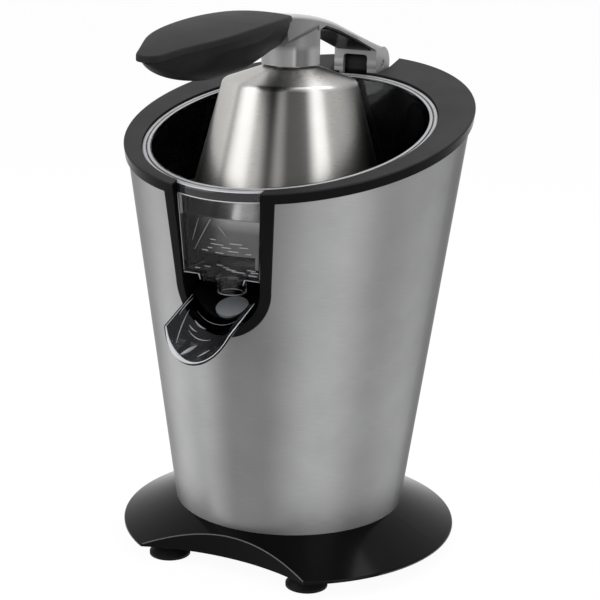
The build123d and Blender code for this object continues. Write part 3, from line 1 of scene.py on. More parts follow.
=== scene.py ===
# %% [markdown]
# # A lever citrus juicer, dressed around its CAD frame
# The solids of the juicer come from the imported CAD model. This lesson loads them, sets up the camera and
# the light of a plain product photograph, gives every piece its finish, and then models small beads for the
# bright edges and lines, painted highlights too fine for the solids. Everything is in metres, with +Z up
# and the spout towards -Y.

# %% Load the frame
import json
import math

import bmesh
import bpy
from mathutils import Matrix, Vector


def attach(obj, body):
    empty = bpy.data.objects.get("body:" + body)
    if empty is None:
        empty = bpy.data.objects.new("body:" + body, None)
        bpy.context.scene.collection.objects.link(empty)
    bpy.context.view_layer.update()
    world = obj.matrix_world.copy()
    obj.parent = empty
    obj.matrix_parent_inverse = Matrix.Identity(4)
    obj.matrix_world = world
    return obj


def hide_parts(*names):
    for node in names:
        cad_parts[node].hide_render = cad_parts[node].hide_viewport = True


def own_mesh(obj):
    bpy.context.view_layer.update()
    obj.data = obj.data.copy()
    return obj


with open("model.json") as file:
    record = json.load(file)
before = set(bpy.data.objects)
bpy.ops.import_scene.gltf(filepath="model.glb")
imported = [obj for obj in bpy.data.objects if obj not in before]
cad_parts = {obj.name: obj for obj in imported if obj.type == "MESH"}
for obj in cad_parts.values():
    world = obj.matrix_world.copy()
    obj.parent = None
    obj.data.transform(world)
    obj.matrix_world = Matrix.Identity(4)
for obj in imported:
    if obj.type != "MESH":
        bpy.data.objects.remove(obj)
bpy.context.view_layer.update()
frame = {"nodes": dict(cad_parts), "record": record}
nodes = frame["nodes"]

# %% [markdown]
# ## Camera
# The photograph was taken from a little above and to the right of the spout, with a long lens. The place,
# the aim and the lens could be set by eye. Fitting known edges of the juicer, such as the rim's circle
# and the base, to the picture is surer. The picture leans slightly, so the camera is rolled about its own
# axis too.

# %% Camera
CAMERA_PLACE = Vector((0.4134, -0.8203, 0.3950))
CAMERA_AIM = Vector((0.00378, 0.00188, 0.14594))
CAMERA_ROLL = math.radians(1.236)
FOCAL_PIXELS = 1610.85
FRAME_PIXELS = 600
SENSOR_MM = 36.0

camera_data = bpy.data.cameras.new("camera")
camera_data.sensor_width = SENSOR_MM
camera_data.lens = SENSOR_MM * FOCAL_PIXELS / FRAME_PIXELS
camera = bpy.data.objects.new("camera", camera_data)
bpy.context.scene.collection.objects.link(camera)
look = (CAMERA_AIM - CAMERA_PLACE).to_track_quat("-Z", "Y").to_matrix().to_4x4()
camera.matrix_world = Matrix.Translation(CAMERA_PLACE) @ look @ Matrix.Rotation(CAMERA_ROLL, 4, "Z")
bpy.context.scene.camera = camera
print("lens:", round(camera_data.lens, 2), "mm")

# %% [markdown]
# ## Light and background
# A product picture on white has an even light from all sides and a few large soft boxes. A bright world
# would make the background white, but it would also flood the juicer with light. So rays that come
# straight from the camera, or by way of a mirror or clear plastic, see plain white, and all other rays
# meet a weaker world. The floor does the same and keeps a faint shadow.
#
# Two helpers make the nodes that come up again and again. A noise in Blender keeps mostly between two
# values, so a map over a noise starts and ends there unless it is told otherwise.

# %% Node helpers
NOISE_LOW = 0.3
NOISE_HIGH = 0.7


def math_node(tree, operation, first, second=0.0):
    """A math node; each operand is a socket or a number."""
    node = tree.nodes.new("ShaderNodeMath")
    node.operation = operation
    for slot, value in zip(node.inputs, (first, second)):
        if isinstance(value, (int, float)):
            slot.default_value = value
        else:
            tree.links.new(value, slot)
    return node.outputs[0]


def spread(tree, value, low, high, start=NOISE_LOW, end=NOISE_HIGH):
    """Maps a value from one range to another, and keeps it inside."""
    node = tree.nodes.new("ShaderNodeMapRange")
    node.inputs["From Min"].default_value = start
    node.inputs["From Max"].default_value = end
    node.inputs["To Min"].default_value = low
    node.inputs["To Max"].default_value = high
    tree.links.new(value, node.inputs["Value"])
    return node.outputs["Result"]


# %% World
AMBIENT = 0.55


def seen_directly(tree):
    """A value of 1 for camera, glossy and transmission rays, and 0 for the rays that light a surface."""
    path = tree.nodes.new("ShaderNodeLightPath").outputs
    direct = math_node(tree, "MAXIMUM", path["Is Camera Ray"], path["Is Glossy Ray"])
    return math_node(tree, "MAXIMUM", direct, path["Is Transmission Ray"])


world = bpy.data.worlds.new("studio")
world.use_nodes = True
bpy.context.scene.world = world
sky = world.node_tree
background = sky.nodes["Background"]
background.inputs["Color"].default_value = (1, 1, 1, 1)
strength = spread(sky, seen_directly(sky), AMBIENT, 1.0, 0.0, 1.0)
sky.links.new(strength, background.inputs["Strength"])
bpy.context.scene.view_settings.view_transform = "Standard"
print("even light:", AMBIENT)

# %% Soft boxes


def soft_box(name, place, aim, width, height, watts):
    """A rectangular area lamp that points at a place."""
    data = bpy.data.lights.new(name, "AREA")
    data.shape = "RECTANGLE"
    data.size = width
    data.size_y = height
    data.energy = watts
    lamp = bpy.data.objects.new(name, data)
    turn = (Vector(aim) - Vector(place)).to_track_quat("-Z", "Y").to_matrix().to_4x4()
    lamp.matrix_world = Matrix.Translation(Vector(place)) @ turn
    bpy.context.scene.collection.objects.link(lamp)


soft_box("box_left", (-0.75, -0.75, 0.75), aim=(0, 0, 0.15), width=0.7, height=1.3, watts=6.0)
soft_box("box_right", (0.85, -0.35, 0.60), aim=(0, 0, 0.15), width=0.5, height=1.3, watts=4.0)
soft_box("box_top", (0.1, 0.25, 1.05), aim=(0, 0, 0.2), width=0.8, height=0.6, watts=4.0)

# %% Floor
FLOOR_HALF = 30.0
FLOOR_GREY = 0.95
FLOOR_GLOW = 1.02
SHADOW_SHARE = 0.07

floor_mesh = bpy.data.meshes.new("floor")
builder = bmesh.new()
bmesh.ops.create_grid(builder, x_segments=1, y_segments=1, size=FLOOR_HALF)
builder.to_mesh(floor_mesh)
builder.free()
floor = bpy.data.objects.new("floor", floor_mesh)
bpy.context.scene.collection.objects.link(floor)

paper = bpy.data.materials.new("paper_floor")
paper.use_nodes = True
tree = paper.node_tree
tree.nodes.clear()
matt = tree.nodes.new("ShaderNodeBsdfDiffuse")
matt.inputs["Color"].default_value = (FLOOR_GREY, FLOOR_GREY, FLOOR_GREY, 1)
glow = tree.nodes.new("ShaderNodeEmission")
glow.inputs["Strength"].default_value = FLOOR_GLOW
blend = tree.nodes.new("ShaderNodeMixShader")
out = tree.nodes.new("ShaderNodeOutputMaterial")
share = math_node(tree, "MULTIPLY", seen_directly(tree), 1 - SHADOW_SHARE)
tree.links.new(share, blend.inputs["Fac"])
tree.links.new(matt.outputs[0], blend.inputs[1])
tree.links.new(glow.outputs[0], blend.inputs[2])
tree.links.new(blend.outputs[0], out.inputs["Surface"])
floor_mesh.materials.append(paper)
print("floor:", FLOOR_HALF * 2, "m")

# %% [markdown]
# ## Shared surface effects
# Several finishes share the same small effects. They could be wired anew in each material, but a node
# group with named sockets is built once and placed where it is wanted. The first group is the fine grain
# of a moulded or cast surface, with a slow change of tone. The second is brushing: hair-fine lines that
# run round a turned piece. It also puts out the bearing round the piece, from 0 at the back, through 0.5
# at the spout, to 1, so that a finish can change its tone from side to side.

# %% Group helpers


def group_with(name, inputs, outputs):
    """A new shader node group with float or vector inputs and float outputs."""
    group = bpy.data.node_groups.new(name, "ShaderNodeTree")
    for label, kind, value in inputs:
        socket = group.interface.new_socket(label, in_out="INPUT", socket_type=kind)
        if kind == "NodeSocketFloat":
            socket.default_value = value
    for label in outputs:
        group.interface.new_socket(label, in_out="OUTPUT", socket_type="NodeSocketFloat")
    return group, group.nodes.new("NodeGroupInput"), group.nodes.new("NodeGroupOutput")


def noise(tree, vector, scale, detail=2.0):
    """A noise texture's value on a vector; the scale is a socket or a number."""
    node = tree.nodes.new("ShaderNodeTexNoise")
    node.inputs["Detail"].default_value = detail
    tree.links.new(vector, node.inputs["Vector"])
    if isinstance(scale, (int, float)):
        node.inputs["Scale"].default_value = scale
    else:
        tree.links.new(scale, node.inputs["Scale"])
    return node.outputs["Fac"]


def split(tree, vector):
    """The X, Y and Z of a vector."""
    node = tree.nodes.new("ShaderNodeSeparateXYZ")
    tree.links.new(vector, node.inputs[0])
    return node.outputs["X"], node.outputs["Y"], node.outputs["Z"]


# %% Grain group
BROAD_SHARE = 0.02

grain, grain_in, grain_out = group_with(
    "surface_grain",
    [("Vector", "NodeSocketVector", None), ("Scale", "NodeSocketFloat", 900.0)],
    ["Height", "Tone"])
scale = grain_in.outputs["Scale"]
fine = noise(grain, grain_in.outputs["Vector"], scale, 3.0)
broad = noise(grain, grain_in.outputs["Vector"], math_node(grain, "MULTIPLY", scale, BROAD_SHARE))
grain.links.new(fine, grain_out.inputs["Height"])
grain.links.new(broad, grain_out.inputs["Tone"])
print("group:", grain.name)

# %% Brushing group
WOUND_SHARE = 0.0016
PATCH_SCALE = 34.0

brush, brush_in, brush_out = group_with(
    "round_brushing",
    [("Vector", "NodeSocketVector", None), ("Lines", "NodeSocketFloat", 5200.0)],
    ["Line", "Turn", "Patch"])
x, y, z = split(brush, brush_in.outputs["Vector"])
bearing = math_node(brush, "ARCTAN2", x, math_node(brush, "MULTIPLY", y, -1.0))
wound = brush.nodes.new("ShaderNodeCombineXYZ")
brush.links.new(math_node(brush, "MULTIPLY", bearing, WOUND_SHARE), wound.inputs["X"])
brush.links.new(z, wound.inputs["Z"])
line = noise(brush, wound.outputs[0], brush_in.outputs["Lines"], 4.0)
turned = math_node(brush, "ADD", math_node(brush, "MULTIPLY", bearing, 0.5 / math.pi), 0.5)
patch = noise(brush, brush_in.outputs["Vector"], PATCH_SCALE)
brush.links.new(line, brush_out.inputs["Line"])
brush.links.new(turned, brush_out.inputs["Turn"])
brush.links.new(patch, brush_out.inputs["Patch"])
print("group:", brush.name)

# %% [markdown]
# ## Finishes
# A finish is one Principled shader whose colour, roughness and bump come from the groups. Values that are
# the same all over stay on the shader's own sockets. Black plastic is mostly what it mirrors, so its
# index of refraction matters more than its colour: a low one keeps the base nearly black under the white
# light, and a higher one greys the handle.

# %% Finish helpers
BUMP_DEPTH = 0.0002


def finish_base(name):
    """A new material; returns it with its node tree, its Principled shader and its Object coordinates."""
    material = bpy.data.materials.new(name)
    material.use_nodes = True
    tree = material.node_tree
    shader = tree.nodes["Principled BSDF"]
    place = tree.nodes.new("ShaderNodeTexCoord")
    return material, tree, shader, place.outputs["Object"]


def use_group(tree, group, vector, **values):
    """Places a node group in a material, with its own values."""
    node = tree.nodes.new("ShaderNodeGroup")
    node.node_tree = group
    tree.links.new(vector, node.inputs["Vector"])
    for label, value in values.items():
        node.inputs[label].default_value = value
    return node


def tint(tree, value, dark, light):
    """A colour between two, by a noise value."""
    ramp = tree.nodes.new("ShaderNodeValToRGB")
    low, high = ramp.color_ramp.elements
    low.position = NOISE_LOW
    low.color = (*dark, 1)
    high.position = NOISE_HIGH
    high.color = (*light, 1)
    tree.links.new(value, ramp.inputs["Fac"])
    return ramp.outputs["Color"]


def mixed(tree, share, first, second):
    """A colour that goes from the first to the second with a share."""
    node = tree.nodes.new("ShaderNodeMix")
    node.data_type = "RGBA"
    tree.links.new(share, node.inputs["Factor"])
    tree.links.new(first, node.inputs["A"])
    tree.links.new(second, node.inputs["B"])
    return node.outputs["Result"]


def bump(tree, shader, height, strength, distance=BUMP_DEPTH):
    """A bump on the shader's normal."""
    node = tree.nodes.new("ShaderNodeBump")
    node.inputs["Strength"].default_value = strength
    node.inputs["Distance"].default_value = distance
    tree.links.new(height, node.inputs["Height"])
    tree.links.new(node.outputs["Normal"], shader.inputs["Normal"])


# %% A moulded, cast or painted finish
ROUGH_LESS = 0.04
ROUGH_MORE = 0.05


def moulded(name, dark, light, rough, grain_scale, bump_strength, metallic=0.0, ior=1.45):
    """A slow change of tone, a fine grain and a roughness that varies with the tone."""
    material, tree, shader, place = finish_base(name)
    skin = use_group(tree, grain, place, Scale=grain_scale)
    tone = skin.outputs["Tone"]
    tree.links.new(tint(tree, tone, dark, light), shader.inputs["Base Color"])
    tree.links.new(spread(tree, tone, rough - ROUGH_LESS, rough + ROUGH_MORE), shader.inputs["Roughness"])
    shader.inputs["Metallic"].default_value = metallic
    shader.inputs["IOR"].default_value = ior
    bump(tree, shader, skin.outputs["Height"], bump_strength)
    return material


# %% [markdown]
# ### Brushed steel
# The body and the dome are turned steel with the brushing round them. The lines are a noise that is
# stretched round the axis. The shader is anisotropic with its tangent upright, so a lamp draws out into an
# upright streak as on the real metal. The broad light and dark strips that stand upright on the steel are
# painted reflections of a room. A modelled room could give them; here they are painted as a ramp over the
# bearing. Five tones are enough. Each pair below is a bearing in degrees, from the spout towards +X, and
# the painted reflection's tone there.

# %% Painted reflection bands round the steel
DARK, DIM, MID, LIGHT, BRIGHT = 0.09, 0.20, 0.28, 0.38, 0.52

BODY_REFLECTIONS = [
    (-150, DIM), (-110, LIGHT), (-60, LIGHT), (-30, BRIGHT), (-14, LIGHT), (3, DIM), (14, DIM), (36, LIGHT),
    (58, MID), (84, LIGHT), (108, DIM), (125, MID)]
DOME_REFLECTIONS = [
    (-140, LIGHT), (-90, MID), (-60, BRIGHT), (-24, BRIGHT), (-18, MID), (-8, LIGHT), (6, LIGHT),
    (14, DARK), (20, MID), (27, DARK), (38, DARK), (48, LIGHT), (66, LIGHT), (100, DARK), (140, LIGHT)]
STRAINER_REFLECTIONS = [(-90, MID), (-20, DARK), (-8, DARK), (4, BRIGHT), (22, BRIGHT), (45, DIM), (90, MID)]


def reflection_ramp(tree, turn, bands):
    """A painted reflection: a grey value by the bearing round a piece."""
    ramp = tree.nodes.new("ShaderNodeValToRGB")
    ramp.color_ramp.interpolation = "EASE"
    stops = ramp.color_ramp.elements
    for degrees, grey in bands:
        stop = stops.new(0.5 + degrees / 360)
        stop.color = (grey, grey, grey, 1)
    back = (bands[0][1] + bands[-1][1]) / 2
    for end in (stops[0], stops[-1]):
        end.color = (back, back, back, 1)
    tree.links.new(turn, ramp.inputs["Fac"])
    return ramp.outputs["Color"]


def about_axis(tree, place, axis_y):
    """Object coordinates about the upright line at x = 0 and the given y."""
    shift = tree.nodes.new("ShaderNodeMapping")
    shift.inputs["Location"].default_value = (0, -axis_y, 0)
    tree.links.new(place, shift.inputs["Vector"])
    return shift.outputs[0]


def upright(tree, shader):
    """Sets the shader's tangent upright, so that highlights stretch up and down."""
    along = tree.nodes.new("ShaderNodeCombineXYZ")
    along.inputs["Z"].default_value = 1.0
    tree.links.new(along.outputs[0], shader.inputs["Tangent"])


def toned(tree, grey, colour):
    """A colour times a grey value."""
    node = tree.nodes.new("ShaderNodeVectorMath")
    node.operation = "SCALE"
    node.inputs[0].default_value = colour
    tree.links.new(grey, node.inputs["Scale"])
    return node.outputs["Vector"]


# %% Brushed steel
BODY_AXIS_Y = 0.0
PRESS_AXIS_Y = -0.0090
BOWL_AXIS_Y = -0.0084
COOL_STEEL = (0.99, 0.993, 1.0)
WARM_STEEL = (1.0, 0.985, 0.95)
EVEN_GREY = 0.55
LINE_TONE = 0.07
PATCH_TONE = 0.05
LINE_ROUGH = 0.05
STREAK = 0.7


def brushed_steel(name, colour, axis_y, bands, rough, edge, heights, flat=0.0, shade=0.0):
    """Steel brushed round an upright axis. Between two heights its painted reflections flatten to an even
    grey, and a painted shade darkens it.
    """
    material, tree, shader, place = finish_base(name)
    about = about_axis(tree, place, axis_y)
    lines = use_group(tree, brush, about)
    line = lines.outputs["Line"]
    z = split(tree, about)[2]
    factors = [
        spread(tree, z, 1.0, 1.0 - shade, *heights),
        spread(tree, line, 1.0 - LINE_TONE, 1.0 + LINE_TONE),
        spread(tree, lines.outputs["Patch"], 1.0 - PATCH_TONE, 1.0 + PATCH_TONE)]
    banding = spread(tree, z, 1.0, 1.0 - flat, *heights)
    grey = math_node(tree, "MULTIPLY", reflection_ramp(tree, lines.outputs["Turn"], bands), banding)
    grey = math_node(tree, "ADD", grey, spread(tree, z, 0.0, flat * EVEN_GREY, *heights))
    for factor in factors:
        grey = math_node(tree, "MULTIPLY", grey, factor)
    tree.links.new(toned(tree, grey, colour), shader.inputs["Base Color"])
    tree.links.new(spread(tree, line, rough - LINE_ROUGH, rough + LINE_ROUGH), shader.inputs["Roughness"])
    shader.inputs["Metallic"].default_value = 1.0
    shader.inputs["Specular Tint"].default_value = (edge, edge, edge, 1)
    shader.inputs["Anisotropic"].default_value = STREAK
    upright(tree, shader)
    bump(tree, shader, line, 0.04)
    return material


# Painted shade: the body darkens towards its top, under the rim, and the strainer towards the bottom of the
# window. On the dome's top the painted reflections flatten to an even grey.
steel_body = brushed_steel(
    "steel_body", COOL_STEEL, BODY_AXIS_Y, BODY_REFLECTIONS,
    rough=0.34, edge=0.45, heights=(0.10, 0.225), shade=0.14)
steel_dome = brushed_steel(
    "steel_dome", WARM_STEEL, PRESS_AXIS_Y, DOME_REFLECTIONS,
    rough=0.31, edge=0.75, heights=(0.2750, 0.2785), flat=0.65)
steel_strainer = brushed_steel(
    "steel_strainer", WARM_STEEL, BOWL_AXIS_Y, STRAINER_REFLECTIONS,
    rough=0.40, edge=0.5, heights=(0.2160, 0.2030), shade=0.75)
print("steel:", steel_body.name, steel_dome.name, steel_strainer.name)

# %% [markdown]
# ### The cast arm
# The arm is a satin grey casting. Its crest is painted lighter and its flanks are painted darker towards
# the handle and the hinge: painted light and shade. Its round stem under the cover is turned and polished,
# and its upright light and dark strips are painted reflections like those on the dome. The arm is one
# solid, so one material does both: the crest is told apart by the depth under the arm's arched top, which
# is a parabola along y, and the strips fade in below the height where the stem begins.

# %% Cast arm
STEM_TOP_Z = 0.2975
STEM_FADE = 0.003
ARM_CROWN_Z = 0.3113
ARM_CROWN_SLOPE = -0.184
ARM_CROWN_BEND = -1.23
CREST_LIGHT_DEPTHS = (0.0012, 0.0026)
SCOOP_SHADE_Y = (-0.045, -0.018)
HINGE_SHADE_Y = (0.035, 0.062)
STEM_COLOUR = (1.1, 1.1, 1.11)
STEM_REFLECTIONS = [
    (-120, LIGHT), (-80, DIM), (0, MID), (28, MID), (34, LIGHT), (40, DARK), (55, DARK), (75, MID),
    (120, DIM)]


def cast_arm():
    """A satin casting with a painted light crest, painted shade on its flanks and painted reflections on
    its stem.
    """
    material, tree, shader, place = finish_base("cast_grey")
    skin = use_group(tree, grain, place, Scale=2600.0)
    tone = skin.outputs["Tone"]
    _, y, z = split(tree, place)
    crown = math_node(tree, "MULTIPLY", math_node(tree, "MULTIPLY", y, y), ARM_CROWN_BEND)
    crown = math_node(tree, "ADD", crown, math_node(tree, "MULTIPLY", y, ARM_CROWN_SLOPE))
    depth = math_node(tree, "SUBTRACT", math_node(tree, "ADD", crown, ARM_CROWN_Z), z)
    # Painted light and shade: the crest is lighter, the flanks darker, darker still in the scoop by the
    # handle and at the hinge.
    crest_light = tint(tree, tone, (0.44, 0.44, 0.445), (0.51, 0.51, 0.51))
    flank_shade = tint(tree, tone, (0.15, 0.15, 0.155), (0.19, 0.19, 0.195))
    scoop_shade = tint(tree, tone, (0.085, 0.085, 0.088), (0.115, 0.115, 0.118))
    hinge_shade = tint(tree, tone, (0.060, 0.060, 0.063), (0.085, 0.085, 0.088))
    flank_shade = mixed(tree, spread(tree, y, 1.0, 0.0, *SCOOP_SHADE_Y), flank_shade, scoop_shade)
    flank_shade = mixed(tree, spread(tree, y, 0.0, 1.0, *HINGE_SHADE_Y), flank_shade, hinge_shade)
    cast_light_shade = mixed(tree, spread(tree, depth, 0.0, 1.0, *CREST_LIGHT_DEPTHS), crest_light, flank_shade)
    # The stem's upright strips are painted reflections.
    lines = use_group(tree, brush, about_axis(tree, place, PRESS_AXIS_Y))
    stem_reflection = toned(tree, reflection_ramp(tree, lines.outputs["Turn"], STEM_REFLECTIONS), STEM_COLOUR)
    on_stem = spread(tree, z, 1.0, 0.0, STEM_TOP_Z - STEM_FADE, STEM_TOP_Z)
    tree.links.new(mixed(tree, on_stem, cast_light_shade, stem_reflection), shader.inputs["Base Color"])
    tree.links.new(spread(tree, tone, 0.36, 0.46), shader.inputs["Roughness"])
    shader.inputs["Metallic"].default_value = 0.35
    bump(tree, shader, skin.outputs["Height"], 0.05)
    return material


cast_grey = cast_arm()
print("cast arm:", cast_grey.name)

# %% [markdown]
# ### The black rim
# The rim is one moulding: a gloss wall with the front bezel, and a satin top face whose lighter grey is a
# painted sheen of the light above. The two could be separate pieces, but on the real one there is no seam.
# The top edge of the steel body is slanted, so the height over that slant tells wall and top face apart.

# %% Rim
RIM_SLOPE = 0.2642
STEEL_TOP_Z = 0.2471
TOP_FACE_RISE = (0.0049, 0.0058)


def black_rim():
    """A gloss black wall with a satin top face, painted lighter as a sheen."""
    material, tree, shader, place = finish_base("satin_black")
    skin = use_group(tree, grain, place, Scale=2400.0)
    tone = skin.outputs["Tone"]
    _, y, z = split(tree, place)
    height = math_node(tree, "SUBTRACT", z, math_node(tree, "MULTIPLY", y, RIM_SLOPE))
    height = math_node(tree, "SUBTRACT", height, STEEL_TOP_Z)
    top_face = spread(tree, height, 0.0, 1.0, *TOP_FACE_RISE)
    # The top face's lighter grey is a painted sheen.
    wall = tint(tree, tone, (0.0022, 0.0022, 0.0024), (0.0040, 0.0040, 0.0043))
    painted_top_sheen = tint(tree, tone, (0.018, 0.018, 0.019), (0.026, 0.026, 0.027))
    tree.links.new(mixed(tree, top_face, wall, painted_top_sheen), shader.inputs["Base Color"])
    tree.links.new(spread(tree, top_face, 0.20, 0.46, 0.0, 1.0), shader.inputs["Roughness"])
    shader.inputs["IOR"].default_value = 1.15
    bump(tree, shader, skin.outputs["Height"], 0.05)
    return material


satin_black = black_rim()
print("rim:", satin_black.name)

# %% [markdown]
# ### Other plastics, rubber and the metals inside
# The base is gloss black, the handle a grained grip whose darker underside is painted shade, and the feet
# soft rubber.
# The pieces inside keep the look of what they are made of: bronze bushes, acetal gears, an iron core and
# copper windings. One function makes them all, because they differ only in colour, gloss and grain.

# %% Plastics and rubber
gloss_black = moulded(
    "gloss_black", (0.0020, 0.0020, 0.0022), (0.0036, 0.0036, 0.0039), 0.11, 500.0, 0.01, ior=1.15)
inner_black = moulded(
    "inner_black", (0.0014, 0.0014, 0.0015), (0.0034, 0.0034, 0.0036), 0.24, 700.0, 0.03, ior=1.2)
grip_black = moulded(
    "grip_black", (0.010, 0.010, 0.0103), (0.017, 0.017, 0.0174), 0.56, 3000.0, 0.16, ior=1.18)
# The handle's underside is a darker copy of the grip plastic: painted shade.
grip_under_shade = moulded(
    "grip_under_shade", (0.007, 0.007, 0.0072), (0.012, 0.012, 0.0122), 0.45, 3000.0, 0.12, ior=1.15)
foot_rubber = moulded(
    "foot_rubber", (0.0035, 0.0035, 0.0035), (0.0075, 0.0075, 0.0075), 0.55, 2000.0, 0.20, ior=1.2)
reamer_black = moulded(
    "reamer_black", (0.004, 0.004, 0.004), (0.009, 0.009, 0.009), 0.25, 800.0, 0.04, ior=1.3)
pad_silicone = moulded("pad_silicone", (0.22, 0.235, 0.25), (0.30, 0.315, 0.33), 0.42, 1200.0, 0.06)
gear_acetal = moulded("gear_acetal", (0.70, 0.69, 0.63), (0.82, 0.81, 0.76), 0.40, 1200.0, 0.05)
print("plastics:", gloss_black.name, inner_black.name, grip_black.name, grip_under_shade.name, foot_rubber.name)

# %% Metals inside
plain_steel = moulded(
    "plain_steel", (0.42, 0.42, 0.43), (0.58, 0.58, 0.58), 0.28, 1500.0, 0.04, metallic=1.0)
bush_bronze = moulded(
    "bush_bronze", (0.38, 0.23, 0.09), (0.55, 0.36, 0.15), 0.40, 1800.0, 0.10, metallic=1.0)
core_iron = moulded(
    "core_iron", (0.12, 0.12, 0.125), (0.22, 0.22, 0.22), 0.45, 1600.0, 0.15, metallic=0.9)
winding_copper = moulded(
    "winding_copper", (0.42, 0.15, 0.05), (0.62, 0.27, 0.11), 0.34, 900.0, 0.3, metallic=0.9)
print("metals:", plain_steel.name, bush_bronze.name, core_iron.name, winding_copper.name)

# %% [markdown]
# ### Clear plastic
# The bowl and the spout are clear mouldings with a faint ripple. Real plastic bends light more, but its
# white reflections would veil what lies behind it, so the index of refraction is low and the edges are
# modelled later, as painted highlights. The spout is tinted nearly black: its thick wall darkens what lies
# behind it, and the tint also paints the dark reflections seen inside it.

# %% Clear plastic
CLEAR_ROUGH_MORE = 0.03
RIPPLE_DEPTH = 0.0004


def clear_plastic(name, colour, rough, ior):
    """Clear moulded plastic with a faint ripple."""
    material, tree, shader, place = finish_base(name)
    tone = use_group(tree, grain, place, Scale=420.0).outputs["Tone"]
    shader.inputs["Base Color"].default_value = (*colour, 1)
    shader.inputs["Transmission Weight"].default_value = 1.0
    shader.inputs["IOR"].default_value = ior
    tree.links.new(spread(tree, tone, rough, rough + CLEAR_ROUGH_MORE), shader.inputs["Roughness"])
    bump(tree, shader, tone, 0.05, RIPPLE_DEPTH)
    return material


bowl_clear = clear_plastic("bowl_clear", (0.88, 0.885, 0.90), 0.015, 1.22)
# The spout's near-black tint is partly a painted dark reflection.
spout_painted_dark = clear_plastic("spout_painted_dark", (0.055, 0.056, 0.060), 0.01, 1.16)
print("clear:", bowl_clear.name, spout_painted_dark.name)

# %% [markdown]
# ### Each solid gets its finish
# The record names a material slot for every solid, so one table from slots to finishes dresses nearly all
# of them. A few solids share a slot but look different, and have a finish of their own.

# %% Give each solid its finish
finishes = {
    "brushed_steel": steel_body,
    "cast_arm": cast_grey,
    "gloss_black": gloss_black,
    "matte_black": inner_black,
    "handle_grip": grip_black,
    "black_reamer": reamer_black,
    "rubber": foot_rubber,
    "clear_plastic": bowl_clear,
    "grey_silicone": pad_silicone,
    "plain_steel": plain_steel,
    "bronze": bush_bronze,
    "gear_plastic": gear_acetal,
    "iron_core": core_iron,
    "copper_winding": winding_copper,
}
special = {
    "presser_dome": steel_dome,
    "top_rim": satin_black,
    "hinge_post": satin_black,
    "spout": spout_painted_dark,
    "handle_shell": grip_under_shade,
    "strainer": steel_strainer,
}
for entry in frame["record"]["subparts"]:
    solid = nodes[entry["node"]]
    solid.material_slots[0].material = special.get(entry["node"], finishes[entry["material_slot"]])
print("finishes:", len(finishes), "by slot,", len(special), "by name")

# %% [markdown]
# ## Painted highlights on the clear pieces
# Clear plastic shows itself by its edges: light runs inside the wall and comes out where it ends, so the
# rim of the bowl, the corners of the front window and the lip of the spout are bright lines. A path
# tracer at a low sample count can't find that light, so each bright line is a painted highlight: a bead
# in a pale or grey plastic. The same beads paint glints and reflections inside the window and the spout.

# %% Plastics for the painted highlights and the smoky lip
painted_highlight_pale = moulded("painted_highlight_pale", (0.52, 0.53, 0.56), (0.66, 0.67, 0.70), 0.22, 900.0, 0.03)
painted_highlight_grey = moulded("painted_highlight_grey", (0.30, 0.305, 0.32), (0.42, 0.425, 0.44), 0.26, 900.0, 0.03)
edge_smoke = moulded("edge_smoke", (0.016, 0.016, 0.018), (0.034, 0.034, 0.037), 0.16, 300.0, 0.03)
print("edges:", painted_highlight_pale.name, painted_highlight_grey.name, edge_smoke.name)

# %% [markdown]
# A bead follows a path: a small circle is set square to the first run, and is extruded and turned from
# point to point. A curve with a bevel could do that too, but its radius and its closed ends are easier to
# steer in a bmesh. A hoop goes round the bowl's axis: an oval is spun, and then sheared so that it
# follows the slanted rim.

# %% Bead and hoop helpers
BEAD_SIDES = 10
HOOP_SIDES = 12
HALF_TURN = 180


def placed(name, builder, material, body):
    """Turns a bmesh into a piece that rides on a body."""
    bmesh.ops.remove_doubles(builder, verts=builder.verts, dist=1e-6)
    bmesh.ops.recalc_face_normals(builder, faces=builder.faces)
    mesh = bpy.data.meshes.new(name)
    builder.to_mesh(mesh)
    builder.free()
    for face in mesh.polygons:
        face.use_smooth = True
    piece = bpy.data.objects.new(name, mesh)
    mesh.materials.append(material)
    bpy.context.scene.collection.objects.link(piece)
    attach(piece, body)
    print(name, len(mesh.polygons), "faces")
    return piece


def bead(builder, path, radii):
    """Adds a round bead along a path of points, with its radius at each point."""
    runs = [(b - a).normalized() for a, b in zip(path, path[1:])]
    ring = bmesh.ops.create_circle(builder, cap_ends=True, segments=BEAD_SIDES, radius=radii[0])["verts"]
    square = runs[0].to_track_quat("Z", "Y").to_matrix().to_4x4()
    bmesh.ops.transform(builder, matrix=Matrix.Translation(path[0]) @ square, verts=ring)
    edges = list({e for v in ring for e in v.link_edges})
    for i, run in enumerate(runs):
        made = bmesh.ops.extrude_edge_only(builder, edges=edges)["geom"]
        ring = [g for g in made if isinstance(g, bmesh.types.BMVert)]
        edges = [g for g in made if isinstance(g, bmesh.types.BMEdge) and all(v in ring for v in g.verts)]
        bmesh.ops.translate(builder, vec=path[i + 1] - path[i], verts=ring)
        swell = radii[i + 1] / radii[i]
        bmesh.ops.scale(builder, vec=(swell,) * 3, space=Matrix.Translation(-path[i + 1]), verts=ring)
        if i + 1 < len(runs):
            turn = run.rotation_difference(runs[i + 1]).to_matrix()
            bmesh.ops.rotate(builder, cent=path[i + 1], matrix=turn, verts=ring)
    bmesh.ops.contextual_create(builder, geom=edges)


